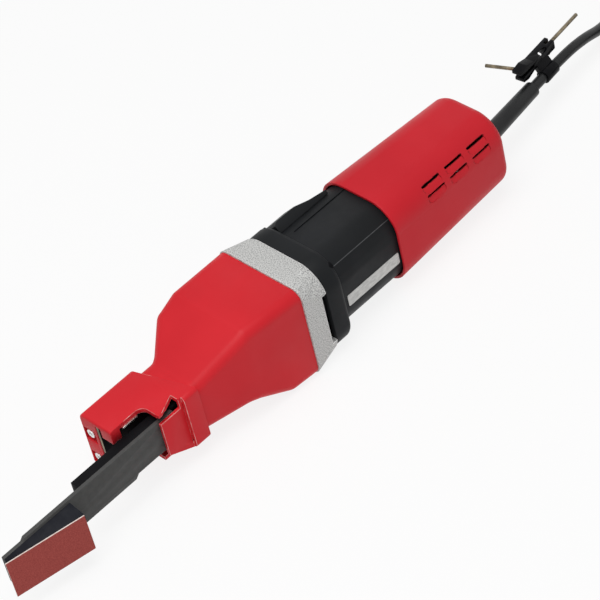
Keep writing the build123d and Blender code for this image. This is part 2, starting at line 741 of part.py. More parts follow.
def make_drive_gear():
    gear = involute_gear(GEAR_TEETH, GEAR_BORE + 2 * SEAT, x_gear, x_gear_end, y_shaft, 0)
    rim = GEAR_MODULE * (GEAR_TEETH - 2 * DEDENDUM) - 2 * GEAR_WEB
    hub = GEAR_BORE + 2 * GEAR_WEB
    return gear - ring(rim, hub, x_gear + GEAR_WEB, x_gear_end, y_shaft)


def make_pinion():
    # a tooth of the gear points along +Y at the pinion, so the pinion shows it a space
    phase = 180 + 180 / PINION_TEETH
    return involute_gear(PINION_TEETH, PINION_BORE + 2 * SEAT, x_gear, x_gear_end, 0, phase)


# Motor stations
x_bearing_end = x_plate_end
x_fan = x_ring_rear + SIDE_PLAY + FAN_DISC
x_fan_end = x_fan + FAN_LENGTH
x_core = x_ring_rear + CORE_START
x_core_end = x_core + CORE_LENGTH
x_winding = x_core - WINDING_LENGTH
x_winding_end = x_core_end + WINDING_LENGTH
x_barrel_end = x_cap_front + BARREL_SPIGOT
x_carrier_end = x_barrel_end + SEAT + CARRIER_THICKNESS
x_commutator = x_winding_end + FAN_DISC
x_commutator_end = x_carrier_end + COMMUTATOR_LENGTH - CARRIER_THICKNESS
x_cup = x_commutator_end + SIDE_PLAY
x_rear_bearing = x_cup + SIDE_PLAY
x_rear_bearing_end = x_rear_bearing + BEARING_WIDTH
x_cup_end = x_rear_bearing_end + CUP_END_WALL


def make_bearing_plate():
    side = ring_size - 2 * RING_WALL - 2 * SEAT
    body = bar(side, side, RING_BORE_CORNER, x_plate, x_plate_end)
    body -= disc(FRONT_BEARING + 2 * SEAT, x_plate, x_plate_end)
    window = ring(side - RING_WALL, FRONT_BEARING + 2 * RING_WALL, x_plate, x_plate_end)
    arms = slab(x_plate, x_plate_end, -side, side, -RING_WALL, RING_WALL)
    uprights = slab(x_plate, x_plate_end, -FRONT_BEARING, FRONT_BEARING, -side, side)
    body -= window - arms - uprights
    for y, z in plate_screw_places:
        spacer = ring(SCREW_M3_HEAD, SCREW_M3 + 2 * SEAT, x_wall_rear + SEAT, x_plate, y, z)
        body = body + spacer - disc(SCREW_M3 + 2 * SEAT, x_plate, x_plate_end, y, z)
    return body


def make_plate_screws():
    size = (SCREW_M3, SCREW_M3_HEAD, SCREW_M3_HEAD_HEIGHT)
    length = x_plate_end + SEAT - x_ring_front - LOOSE
    head_x = x_plate_end + SEAT
    return group(socket_screw(head_x, -1, y, z, length, *size) for y, z in plate_screw_places)


def bearing_ring(inner, outside, bore, x_start):
    split = (outside + bore) / 2
    end = x_start + BEARING_WIDTH
    if inner:
        return ring(split - BEARING_PLAY, bore + 2 * SEAT, x_start, end)
    return ring(outside, split + BEARING_PLAY, x_start, end)


def make_motor_housing():
    flange = bar(flange_size, flange_size, RING_CORNER, x_ring_rear + SEAT, x_flange_rear)
    rim = flange.faces().sort_by(Axis.X)[-1].edges()
    flange = fillet(rim, FLANGE_EDGE)
    body = flange + bar(BARREL_SIZE, BARREL_SIZE, BARREL_CORNER, x_flange_rear - FLANGE_EDGE, x_barrel_end)
    corner = RING_CORNER - FLANGE_WALL
    body -= bar(flange_bore, flange_bore, corner, x_ring_rear, x_flange_rear - FLANGE_BACK_WALL)
    body -= bar(barrel_bore, barrel_bore, BARREL_CORNER - BARREL_WALL, x_ring_rear, x_barrel_end)
    seat_depth = x_flange_rear - SCREW_M4_HEAD_HEIGHT
    for y, z in flange_screw_places:
        pillar = disc(SCREW_M4_HEAD + 2 * FLANGE_BACK_WALL, x_ring_rear + SEAT, x_flange_rear, y, z)
        body += pillar & flange
        body -= disc(SCREW_M4 + 2 * LOOSE, x_ring_rear, x_flange_rear, y, z)
        body -= disc(SCREW_M4_HEAD + 2 * LOOSE, seat_depth, x_flange_rear + BARREL_WALL, y, z)
    top = BARREL_SIZE / 2
    y_low = GROOVE_Y - GROOVE_WIDTH / 2
    y_high = GROOVE_Y + GROOVE_WIDTH / 2
    groove = slab(x_flange_rear + GROOVE_START, x_barrel_end, y_low, y_high, top - GROOVE_DEPTH, top)
    return body - slider_track() - groove


def corner_plane(x):
    """Plane on the far upper corner, drawn in x and in the corner's outward direction; it faces across."""
    return Plane((x, 0, axis_z), x_dir=(1, 0, 0), z_dir=(0, -sqrt(0.5), sqrt(0.5)))


x_slider = x_flange_rear + SLIDER_GAP
x_slider_end = x_slider + SLIDER_LENGTH
slider_base = corner_radius + LOOSE


def corner_block(outline, width):
    """Outline in x and in the distance from the motor axis along the far upper corner."""
    plane = corner_plane(0).offset(-width / 2)
    face = make_face(Polyline(*[(x, r) for x, r in outline], close=True))
    return extrude(plane * face, width)


def slider_track():
    """Slot in the barrel for the slider's stem, with room for its travel."""
    x_stem = x_slider + SLIDER_RIDGE / 2
    low = x_stem - SLIDER_STEM / 2 - LOOSE
    high = x_stem + SLIDER_STEM / 2 + SLIDER_TRAVEL + LOOSE
    inside = corner_radius - 2 * BARREL_WALL
    box = [(low, inside), (high, inside), (high, corner_radius + 1), (low, corner_radius + 1)]
    return corner_block(box, SLIDER_STEM + 2 * LOOSE)


rod_radius = corner_radius - BARREL_WALL - LOOSE - ROD_DIAMETER / 2


def make_switch_slider():
    outline = [
        (x_slider, slider_base - SLIDER_RISE),
        (x_slider, slider_base + SLIDER_RISE * 2 / 3),
        (x_slider + SLIDER_RISE / 2, slider_base + SLIDER_RISE),
        (x_slider + SLIDER_RIDGE, slider_base + SLIDER_RISE),
        (x_slider + SLIDER_RIDGE + SLIDER_SLOPE, slider_base + SLIDER_RISE / 2),
        (x_slider_end, slider_base + SLIDER_TOE_RISE),
        (x_slider_end, slider_base - SLIDER_RISE),
    ]
    pad = corner_block(outline, SLIDER_WIDTH)
    skin = BARREL_SIZE + 2 * LOOSE
    pad -= bar(skin, skin, BARREL_CORNER + LOOSE, x_slider, x_slider_end)
    x_stem = x_slider + SLIDER_RIDGE / 2
    low = x_stem - SLIDER_STEM / 2
    high = x_stem + SLIDER_STEM / 2
    inside = rod_radius + ROD_DIAMETER / 2 + SEAT
    stem = [(low, inside), (high, inside), (high, slider_base + 1), (low, slider_base + 1)]
    return pad + corner_block(stem, SLIDER_STEM)


def make_switch_rod():
    y, z = polar(rod_radius, 45)
    x_start = x_slider + SLIDER_RIDGE / 2 - SLIDER_STEM / 2
    return disc(ROD_DIAMETER, x_start, x_switch - SLIDER_TRAVEL - LOOSE, y, z)


def make_stator_core():
    side = barrel_bore - 2 * SEAT
    body = bar(side, side, BARREL_CORNER - BARREL_WALL, x_core, x_core_end)
    bore = ARMATURE_DIAMETER + 2 * AIR_GAP
    body -= disc(bore, x_core, x_core_end)
    slots = ring(bore + 2 * FIELD_THICKNESS + 2 * LOOSE, bore, x_core, x_core_end)
    pole = POLE_WIDTH / 2
    body -= slots - slab(x_core, x_core_end, -pole, pole, -BARREL_SIZE, BARREL_SIZE)
    y, z = polar(rod_radius, 45)
    body -= disc(ROD_DIAMETER + 4 * LOOSE, x_core, x_core_end, y, z)
    low = (x_core, rod_radius)
    channel = [low, (x_core_end, rod_radius), (x_core_end, corner_radius), (x_core, corner_radius)]
    return body - corner_block(channel, SLIDER_STEM + 2 * LOOSE)


def make_field_coils():
    inner = ARMATURE_DIAMETER + 2 * AIR_GAP + LOOSE
    outer = inner + 2 * FIELD_THICKNESS - LOOSE
    x_start = x_core - FIELD_OVERHANG
    x_end = x_core_end + FIELD_OVERHANG
    half_gap = 2 * AIR_GAP
    pole = POLE_WIDTH / 2 + SEAT
    saddle = ring(outer, inner, x_start, x_end)
    saddle -= slab(x_start, x_end, -outer, outer, -outer, half_gap)
    saddle -= slab(x_core - SEAT, x_core_end + SEAT, -pole, pole, 0, outer)
    return group([saddle, saddle.rotate(Axis((0, 0, axis_z), (1, 0, 0)), 180)])


def make_armature_shaft():
    shaft = disc(PINION_BORE, x_gear, x_plate)
    shaft += disc(FRONT_BEARING_BORE, x_plate, x_bearing_end + SEAT)
    shaft += disc(SHAFT_CORE_DIAMETER, x_bearing_end + SEAT, x_commutator_end)
    return shaft + disc(REAR_BEARING_BORE, x_commutator_end, x_rear_bearing_end)


def core_slots(width, depth, x_start, x_end):
    radius = ARMATURE_DIAMETER / 2
    box = slab(x_start, x_end, radius - depth, radius + depth, -width / 2, width / 2)
    spin = Axis((0, 0, axis_z), (1, 0, 0))
    return [box.rotate(spin, 360 * i / CORE_SLOTS) for i in range(CORE_SLOTS)]


def make_armature_core():
    core = ring(ARMATURE_DIAMETER, SHAFT_CORE_DIAMETER + 2 * SEAT, x_core, x_core_end)
    return core - core_slots(CORE_SLOT_WIDTH, CORE_SLOT_DEPTH, x_core, x_core_end)


def make_armature_windings():
    hole = SHAFT_CORE_DIAMETER + 2 * LOOSE
    ends = ring(WINDING_OUTER, hole, x_winding, x_core - SEAT)
    ends += ring(WINDING_OUTER, hole, x_core_end + SEAT, x_winding_end)
    fill = core_slots(CORE_SLOT_WIDTH - 2 * SEAT, CORE_SLOT_DEPTH - SEAT, x_winding, x_winding_end)
    limit = disc(WINDING_OUTER, x_winding, x_winding_end)
    for wedge in fill:
        ends += wedge & limit
    edges = [e for e in ends.edges().filter_by(GeomType.CIRCLE) if e.radius > WINDING_OUTER / 2 - SEAT]
    rims = [e for e in edges if min(abs(e.center().X - x_winding), abs(e.center().X - x_winding_end)) < SEAT]
    return fillet(rims, WINDING_LENGTH / 3)


def make_commutator():
    body = ring(COMMUTATOR_DIAMETER, SHAFT_CORE_DIAMETER + 2 * SEAT, x_commutator, x_commutator_end)
    radius = COMMUTATOR_DIAMETER / 2
    half = COMMUTATOR_GROOVE / 2
    groove = slab(x_commutator, x_commutator_end, radius - 2 * half, radius + half, -half, half)
    spin = Axis((0, 0, axis_z), (1, 0, 0))
    return body - [groove.rotate(spin, 360 * (i + 0.5) / COMMUTATOR_BARS) for i in range(COMMUTATOR_BARS)]


def make_fan():
    fan = ring(fan_diameter, SHAFT_CORE_DIAMETER + 2 * SEAT, x_fan, x_fan + FAN_DISC)
    fan += ring(FAN_HUB, SHAFT_CORE_DIAMETER + 2 * SEAT, x_fan, x_fan_end)
    half = FAN_BLADE_THICKNESS / 2
    blade = slab(x_fan + FAN_DISC, x_fan_end, FAN_HUB / 2 - half, fan_diameter / 2 - half, -half, half)
    spin = Axis((0, 0, axis_z), (1, 0, 0))
    for i in range(FAN_BLADES):
        fan += blade.rotate(spin, 360 * i / FAN_BLADES)
    return fan


def make_brush_carrier():
    side = cap_front_size - 2 * CAP_WALL - 4 * LOOSE
    body = bar(side, side, CAP_CORNER - CAP_WALL, x_barrel_end + SEAT, x_carrier_end)
    opening = COMMUTATOR_DIAMETER + 4 * CUP_WALL / 2
    body -= disc(opening, x_barrel_end, x_carrier_end)
    cup = REAR_BEARING + 2 * CUP_WALL
    body += disc(cup, x_cup, x_cup_end)
    inner = opening / 2
    for low in (inner, -inner - CARRIER_RIB_HEIGHT):
        half = CARRIER_RIB_WIDTH / 2
        body += slab(x_carrier_end, x_cup_end, -half, half, low, low + CARRIER_RIB_HEIGHT)
    reach = inner + CARRIER_RIB_HEIGHT
    body += slab(x_cup, x_cup_end, -CARRIER_RIB_WIDTH / 2, CARRIER_RIB_WIDTH / 2, -reach, reach)
    body -= disc(REAR_BEARING + 2 * SEAT, x_cup, x_rear_bearing_end)
    for sign in (-1, 1):
        body -= brush_box(sign, BRUSH_WALL + SEAT)
        x_seat_end = x_brush_end + BRUSH_WALL
        seat_end = brush_start + BRUSH_BOX_LENGTH
        seat_top = -BRUSH_HEIGHT / 2 - BRUSH_WALL - SEAT
        seat = slab(x_carrier_end, x_seat_end, brush_start, seat_end, seat_top - 2 * BRUSH_WALL, seat_top)
        body += seat if sign > 0 else seat.mirror(Plane.XZ)
    y, z = polar(rod_radius, 45)
    return body - disc(ROD_DIAMETER + 4 * LOOSE, x_barrel_end, x_carrier_end, y, z)


x_brush = x_carrier_end + BRUSH_WALL + LOOSE
x_brush_end = x_brush + BRUSH_WIDTH
brush_start = COMMUTATOR_DIAMETER / 2 + 2 * LOOSE + BRUSH_WALL


def brush_box(sign, grow):
    half = BRUSH_HEIGHT / 2 + grow
    end = brush_start + BRUSH_BOX_LENGTH
    box = slab(x_brush - grow, x_brush_end + grow, brush_start, end, -half, half)
    return box if sign > 0 else box.mirror(Plane.XZ)


def make_brush_holders():
    return group(brush_box(s, BRUSH_WALL) - brush_box(s, SEAT) for s in (-1, 1))


def make_carbon_brushes():
    half = BRUSH_HEIGHT / 2
    start = COMMUTATOR_DIAMETER / 2 + RUNNING
    brush = slab(x_brush, x_brush_end, start, start + BRUSH_LENGTH, -half, half)
    return group([brush, brush.mirror(Plane.XZ)])


def make_brush_springs():
    y = COMMUTATOR_DIAMETER / 2 + RUNNING + BRUSH_LENGTH + SEAT + SPRING_DIAMETER / 2
    roll = disc(SPRING_DIAMETER, x_brush, x_brush_end, y)
    return group([roll, roll.mirror(Plane.XZ)])


# Chassis behind the motor, under the cap
x_chassis = x_cup_end + SEAT
x_chassis_end = x_chassis + CHASSIS_LENGTH
cord_z = CORD_RISE - cap_rear_size / 2
chassis_top = cord_z - CORD_DIAMETER / 2 - SEAT
chassis_bottom = chassis_top - CHASSIS_THICKNESS
x_switch = x_chassis + SWITCH_GAP
x_switch_end = x_switch + SWITCH_LENGTH
post_y = CHASSIS_WIDTH / 2 - POST_SIZE / 2
x_post = x_chassis_end - POST_SIZE


def make_chassis():
    half = CHASSIS_WIDTH / 2
    tray = slab(x_chassis, x_chassis_end, -half, half, chassis_bottom, chassis_top)
    x_wall = x_chassis + CHASSIS_THICKNESS
    tray += disc(REAR_BEARING + 2 * CUP_WALL, x_chassis, x_wall)
    tray += slab(x_chassis, x_wall, -REAR_BEARING / 2, REAR_BEARING / 2, chassis_bottom, 0)
    for y in (-post_y, post_y):
        size = POST_SIZE / 2
        post_top = chassis_top + POST_SIZE
        tray += slab(x_post, x_chassis_end, y - size, y + size, chassis_top, post_top)
        tray -= disc(SCREW_M4 + 2 * SEAT, x_post, x_chassis_end, y, cap_screw_z)
    for y in clamp_places:
        hole = plan_plane(chassis_bottom) * Pos(x_clamp, y) * Circle(SCREW_M3 / 2 + SEAT)
        tray -= extrude(hole, CHASSIS_THICKNESS)
    return tray


cap_screw_z = chassis_top + POST_SIZE / 2
x_clamp = x_post - CLAMP_WIDTH
clamp_offset = (x_clamp - x_cap_rear) * tan(radians(CORD_TILT))
clamp_places = (clamp_offset - CLAMP_PITCH / 2, clamp_offset + CLAMP_PITCH / 2)


def make_switch_module():
    half = SWITCH_WIDTH / 2
    top = chassis_top + SEAT + SWITCH_HEIGHT
    body = slab(x_switch, x_switch_end, -half, half, chassis_top + SEAT, top)
    y, z = polar(rod_radius, 45)
    x_end = x_switch + SLIDER_STEM
    reach = ROD_DIAMETER / 2
    toggle = slab(x_switch, x_end, half - SLIDER_STEM, half, top, z - reach)
    toggle += slab(x_switch, x_end, half - SLIDER_STEM, y + reach, z - SLIDER_STEM + reach, z + reach)
    return body + toggle


def make_capacitor():
    radius = CAPACITOR_DIAMETER / 2
    start = x_switch
    return disc(CAPACITOR_DIAMETER, start, start + CAPACITOR_LENGTH, 0, chassis_bottom - radius - SEAT)


def make_cord_clamp():
    half = CLAMP_SPAN / 2
    low = chassis_top + CORD_DIAMETER / 2
    top = cord_z + CORD_DIAMETER / 2 + CLAMP_THICKNESS
    x_low = x_clamp - CLAMP_WIDTH / 2
    body = slab(x_low, x_low + CLAMP_WIDTH, clamp_offset - half, clamp_offset + half, chassis_top + SEAT, top)
    groove = cord_plane(-CORD_INSIDE - CORD_DIAMETER) * Circle(CORD_DIAMETER / 2 + SEAT)
    body -= extrude(groove, 2 * CORD_INSIDE)
    gate = CORD_DIAMETER / 2 + CLAMP_GATE_PLAY
    body -= slab(x_low, x_low + CLAMP_WIDTH, clamp_offset - gate, clamp_offset + gate, chassis_top, low)
    for y in clamp_places:
        hole = plan_plane(chassis_top) * Pos(x_clamp, y) * Circle(SCREW_M3 / 2 + SEAT)
        body -= extrude(hole, top - chassis_top)
    return body


def make_clamp_screws():
    top = cord_z + CORD_DIAMETER / 2 + CLAMP_THICKNESS + SEAT
    screws = []
    for y in clamp_places:
        place = Pos(x_clamp, y)
        shank = plan_plane(chassis_bottom) * place * Circle(SCREW_M3 / 2)
        head = plan_plane(top) * place * Circle(SCREW_M3_HEAD / 2)
        socket = plan_plane(top + SCREW_M3_HEAD_HEIGHT) * place * RegularPolygon(SCREW_M3_HEAD / 4, 6)
        screw = extrude(shank, top - chassis_bottom) + extrude(head, SCREW_M3_HEAD_HEIGHT)
        screws.append(screw - extrude(socket, -SCREW_M3_HEAD_HEIGHT / 2))
    return group(screws)


# Rear cap: a tapered shell with air slots on both upper corners
def make_rear_cap():
    inner_front = cap_front_size - 2 * CAP_WALL
    inner_rear = cap_rear_size - 2 * CAP_WALL
    inner_corner = CAP_CORNER - CAP_WALL
    outer = loft([
        station(x_cap_front) * RectangleRounded(cap_front_size, cap_front_size, CAP_CORNER),
        station(x_cap_rear) * RectangleRounded(cap_rear_size, cap_rear_size, CAP_CORNER),
    ], ruled=True)
    rim = outer.faces().sort_by(Axis.X)[-1].edges()
    outer = fillet(rim, CAP_EDGE)
    inner = loft([
        station(x_cap_front) * RectangleRounded(inner_front, inner_front, inner_corner),
        station(x_cap_rear - CAP_REAR_WALL) * RectangleRounded(inner_rear, inner_rear, inner_corner),
    ], ruled=True)
    inner_rim = inner.faces().sort_by(Axis.X)[-1].edges()
    body = outer - fillet(inner_rim, CAP_EDGE - CAP_WALL)
    for y in (-post_y, post_y):
        boss = disc(POST_SIZE, x_chassis_end + SEAT, x_cap_rear - CAP_REAR_WALL, y, cap_screw_z)
        body += boss
        body -= disc(SCREW_M4 + 2 * LOOSE, x_chassis_end, x_cap_rear, y, cap_screw_z)
        body -= disc(SCREW_M4_HEAD + 2 * LOOSE, x_cap_rear - SCREW_M4_HEAD_HEIGHT, x_cap_rear, y, cap_screw_z)
    body -= extrude(cord_plane(-2 * CAP_REAR_WALL) * Circle(RELIEF_DIAMETER / 2 + SEAT), 4 * CAP_REAR_WALL)
    for i in range(VENT_COUNT):
        x = x_cap_front + VENT_START + i * VENT_PITCH + VENT_LENGTH / 2
        for angle in VENT_ANGLES:
            body -= vent_cutter(x, angle, 1)
            body -= vent_cutter(x, angle, -1)
    return body


def cap_corner_point(x, angle, side, radius):
    """Point round the centre of one upper corner of the cap; angle is counted up from the side."""
    centre = cap_front_size / 2 - CAP_TAPER * (x - x_cap_front) / CAP_LENGTH - CAP_CORNER
    y = centre + radius * cos(radians(angle))
    return Vector(x, side * y, axis_z + centre + radius * sin(radians(angle)))


def vent_cutter(x, angle, side):
    """Round-ended slit through the wall, at the foot of a recess that slopes down to it."""
    inside = cap_corner_point(x, angle, side, CAP_CORNER - 2 * CAP_WALL)
    outside = cap_corner_point(x, angle, side, CAP_CORNER + CAP_WALL)
    across = Plane(inside, x_dir=(1, 0, 0), z_dir=outside - inside)
    slit = extrude(across * SlotOverall(VENT_LENGTH, VENT_WIDTH), (outside - inside).length)
    foot = cap_corner_point(x, angle, side, CAP_CORNER - VENT_DEPTH)
    rim = cap_corner_point(x, angle - VENT_RAMP, side, CAP_CORNER - VENT_RIM)
    slope = foot - rim
    ramp = Plane((foot + rim) / 2, x_dir=(1, 0, 0), z_dir=Vector(-side, 0, 0).cross(slope))
    return slit + extrude(ramp * SlotOverall(VENT_LENGTH, slope.length + VENT_WIDTH), 2 * CAP_WALL)


def make_cap_screws():
    size = (SCREW_M4, SCREW_M4_HEAD, SCREW_M4_HEAD_HEIGHT)
    head_x = x_cap_rear - SCREW_M4_HEAD_HEIGHT
    length = head_x - x_chassis_end + POST_SIZE - LOOSE
    return group(socket_screw(head_x, -1, y, cap_screw_z, length, *size) for y in (-post_y, post_y))


def make_flange_screws():
    size = (SCREW_M4, SCREW_M4_HEAD, SCREW_M4_HEAD_HEIGHT)
    head_x = x_flange_rear - SCREW_M4_HEAD_HEIGHT
    return group(socket_screw(head_x, -1, y, z, FLANGE_SCREW_LENGTH, *size) for y, z in flange_screw_places)


# Lead: its exit, the route on the floor and the coil
def cord_point(s, across=0.0, up=0.0):
    """Point at distance s behind the cap on the line of the exit, with offsets across and up."""
    a = radians(CORD_TILT)
    return Vector(x_cap_rear + s * cos(a) - across * sin(a), s * sin(a) + across * cos(a), axis_z + cord_z + up)


def cord_plane(s):
    a = radians(CORD_TILT)
    return Plane(cord_point(s), x_dir=(-sin(a), cos(a), 0), z_dir=(cos(a), sin(a), 0))


def make_strain_relief():
    bore = CORD_DIAMETER / 2 + RUNNING
    collar = RELIEF_COLLAR / 2
    start = -CAP_REAR_WALL - 2 * CAP_WALL
    profile = [
        (start, bore),
        (start, collar),
        (start + CAP_WALL, collar),
        (start + CAP_WALL, RELIEF_DIAMETER / 2),
        (CAP_REAR_WALL, RELIEF_DIAMETER / 2),
        (RELIEF_LENGTH - RELIEF_BEVEL, RELIEF_TIP / 2),
        (RELIEF_LENGTH, RELIEF_TIP / 2 - RELIEF_BEVEL),
        (RELIEF_LENGTH, bore),
    ]
    a = radians(CORD_TILT)
    sheet = Plane(cord_point(0), x_dir=(cos(a), sin(a), 0), z_dir=(sin(a), -cos(a), 0))
    face = make_face(Polyline(*profile, close=True))
    return revolve(sheet * face, Axis(cord_point(0), (cos(a), sin(a), 0)), 360)


# Route of the free lead from the tip of the relief: through the clip and down to the floor
lead_start = cord_point(RELIEF_LENGTH)
ROUTE = [
    lead_start,
    cord_point(RELIEF_LENGTH + CLIP_GAP + CLIP_LENGTH + CLIP_END),
    Vector(339.0, 17.6, 22.5),
    Vector(364.0, 23.0, 11.5),
    Vector(389.0, 32.0, FLOOR_HEIGHT),
    Vector(413.5, 43.5, FLOOR_HEIGHT),
]


def widest_radii(points):
    """Largest arcs that the runs allow: 0.45 of the shorter run over the tangent of half the turn."""
    radii = []
    for a, b, c in zip(points, points[1:], points[2:]):
        turn = radians((b - a).get_angle(c - b))
        radii.append(0.45 * min((b - a).length, (c - b).length) / tan(turn / 2))
    return radii


def tube(path, name):
    start = Plane(path @ 0, z_dir=path % 0)
    solid = sweep(start * Circle(CORD_DIAMETER / 2), path)
    expected = pi * CORD_DIAMETER ** 2 / 4 * path.length
    print(f"{name}: length {path.length:.1f}, volume over section times length {solid.volume / expected:.4f}")
    return solid


def make_cord():
    radii = widest_radii(ROUTE)
    print("cord radii", [round(r, 1) for r in radii])
    return tube(FilletPolyline(*ROUTE, radius=radii), "cord")


def make_cord_inner():
    return extrude(cord_plane(-CORD_INSIDE) * Circle(CORD_DIAMETER / 2), CORD_INSIDE + RELIEF_LENGTH - SEAT)


# Coil: two layers, in on the floor and out again on top
entry_heading = atan2((ROUTE[-1] - ROUTE[-2]).Y, (ROUTE[-1] - ROUTE[-2]).X)
entry_angle = entry_heading + pi / 2
exit_angle = COIL_EXIT_HEADING * pi / 180 + pi / 2
coil_turns = COIL_WHOLE_TURNS + ((entry_angle - exit_angle) / (2 * pi)) % 1
coil_depth = coil_turns / 2 * COIL_PITCH
coil_outer = COIL_MEAN_RADIUS + coil_depth / 2
coil_start = ROUTE[-1] + Vector(cos(entry_heading), sin(entry_heading)) * CORD_DIAMETER
coil_centre = coil_start - Vector(cos(entry_angle), sin(entry_angle)) * coil_outer


def coil_point(turn):
    """Clockwise spiral in to the middle turn and out again, one layer higher after a smooth climb."""
    angle = entry_angle - 2 * pi * turn
    radius = coil_outer - COIL_PITCH * (coil_turns / 2 - abs(turn - coil_turns / 2))
    climb = min(1.0, max(0.0, 2 * (turn - coil_turns / 2) + 0.5))
    height = COIL_LAYER * (1 - cos(pi * climb)) / 2
    return coil_centre + Vector(radius * cos(angle), radius * sin(angle), height)


def coil_heading(turn):
    step = 0.002
    return (coil_point(turn + step) - coil_point(turn - step)).normalized()


def biarc(p0, t0, p1, t1):
    """Two arcs that leave p0 along t0 and reach p1 along t1."""
    chord = p1 - p0
    a = 2 * (1 - t0.dot(t1))
    b = 2 * chord.dot(t0 + t1)
    c = -chord.dot(chord)
    reach = (-b + sqrt(b * b - 4 * a * c)) / (2 * a)
    first = p0 + t0 * reach
    last = p1 - t1 * reach
    middle = (first + last) * 0.5
    return [TangentArc(p0, middle, tangent=t0), TangentArc(middle, p1, tangent=last - first)]


def coil_path():
    steps = round(4 * coil_turns)
    turns = [coil_turns * i / steps for i in range(steps + 1)]
    flat_in = Vector(cos(entry_heading), sin(entry_heading))
    exit_heading = exit_angle - pi / 2
    flat_out = Vector(cos(exit_heading), sin(exit_heading))
    headings = [flat_in] + [coil_heading(t) for t in turns[1:-1]] + [flat_out]
    points = [coil_point(t) for t in turns]
    edges = [Line(ROUTE[-1], points[0])]
    for i in range(steps):
        edges += biarc(points[i], headings[i], points[i + 1], headings[i + 1])
    edges.append(Line(points[-1], points[-1] + flat_out * COIL_TAIL))
    return Wire(edges)


coil_line = coil_path()


def least_self_gap(path):
    """Least distance between turns, less the lead's diameter, on points three diameters apart or more."""
    count = int(path.length / (CORD_DIAMETER / 4))
    points = [tuple(path @ (i / count)) for i in range(count + 1)]
    skip = int(3 * CORD_DIAMETER / (path.length / count))
    least = min(dist(a, b) for i, a in enumerate(points) for b in points[i + skip:])
    return least - CORD_DIAMETER


def make_cord_coil():
    gap = least_self_gap(coil_line)
    print(f"coil: {coil_turns:.3f} turns, outer radius {coil_outer:.1f}, gap to itself {gap:.2f}")
    return tube(coil_line, "coil")


# Plug on the end of the coil
def plug_plane(s):
    end = coil_line @ 1
    heading = exit_angle - pi / 2
    along = Vector(cos(heading), sin(heading))
    return Plane(end + along * s, x_dir=(-sin(heading), cos(heading), 0), z_dir=along)


plug_face = PLUG_NECK_LENGTH + PLUG_LENGTH
pin_places = (-PIN_PITCH / 2, PIN_PITCH / 2)


def make_plug():
    neck_start = plug_plane(SEAT) * Circle(PLUG_NECK / 2)
    neck_end = plug_plane(PLUG_NECK_LENGTH) * Circle(PLUG_NECK_ROOT / 2)
    height = 2 * (coil_point(coil_turns).Z - PLUG_LIFT)
    section = RectangleRounded(PLUG_WIDTH, height, PLUG_CORNER)
    body = extrude(plug_plane(PLUG_NECK_LENGTH) * section, PLUG_LENGTH)
    along = Axis(coil_line @ 1, plug_plane(0).z_dir)
    ends = body.faces().sort_by(along)
    body = fillet([*ends[0].edges(), *ends[-1].edges()], PLUG_EDGE)
    body += loft([neck_start, neck_end])
    for y in pin_places:
        hole = plug_plane(plug_face) * Pos(y, 0) * Circle(PIN_ROOT_DIAMETER / 2 + SEAT)
        body -= extrude(hole, -PIN_ROOT)
    return body


def make_plug_pins():
    pins = []
    for y in pin_places:
        root = extrude(plug_plane(plug_face + SEAT) * Pos(y, 0) * Circle(PIN_ROOT_DIAMETER / 2), -PIN_ROOT)
        pin = extrude(plug_plane(plug_face + SEAT) * Pos(y, 0) * Circle(PIN_DIAMETER / 2), PIN_LENGTH)
        tip = pin.faces().sort_by(Axis(coil_line @ 1, plug_plane(0).z_dir))[-1]
        pins.append(fillet(tip.edges(), PIN_TIP) + root)
    return group(pins)


# Key holder clipped on the lead, with two hex keys: one across its fork, one along its rear end
clip_start = RELIEF_LENGTH + CLIP_GAP
holder_start = RELIEF_LENGTH - HOLDER_FRONT
holder_end = holder_start + HOLDER_LENGTH
fork_root = holder_start + FORK_LENGTH
holder_low = HOLDER_RISE - HOLDER_HEIGHT / 2
holder_high = HOLDER_RISE + HOLDER_HEIGHT / 2
key_along = Vector(cos(radians(CORD_TILT)), sin(radians(CORD_TILT)))
key_across = Vector(-sin(radians(CORD_TILT)), cos(radians(CORD_TILT)))
fork_key_out = Vector(-sin(radians(FORK_KEY_ANGLE)), cos(radians(FORK_KEY_ANGLE)))
fork_key_in = Vector(cos(radians(FORK_KEY_ANGLE)), sin(radians(FORK_KEY_ANGLE)))
key_fit = KEY_SIZE / 2 + SEAT
rear_key_s = holder_end - REAR_KEY_INSET


def holder_side():
    """Plane of the holder's side view, drawn along the lead and up from it; it faces across."""
    return Plane(cord_point(0, HOLDER_ACROSS + HOLDER_WIDTH / 2), x_dir=key_along, z_dir=key_across * -1)


def hex_key(corner, along, side, long_leg, short_leg):
    """L-shaped hex key: long leg from the corner along one direction, short leg along the other."""
    path = FilletPolyline(corner + along * long_leg, corner, corner + side * short_leg, radius=KEY_BEND)
    hexagon = RegularPolygon(KEY_SIZE / 2, 6, major_radius=False)
    return sweep(Plane(path @ 0, x_dir=side, z_dir=path % 0) * hexagon, path)


def make_fork_key():
    corner = cord_point(holder_start + FORK_KEY_INSET, HOLDER_ACROSS, HOLDER_RISE)
    return hex_key(corner, fork_key_out, fork_key_in, FORK_KEY_LEG, FORK_KEY_SHORT_LEG)


def make_rear_key():
    corner = cord_point(rear_key_s, HOLDER_ACROSS, HOLDER_RISE)
    return hex_key(corner, key_along, Vector(0, 0, -1), REAR_KEY_LEG, REAR_KEY_SHORT_LEG)


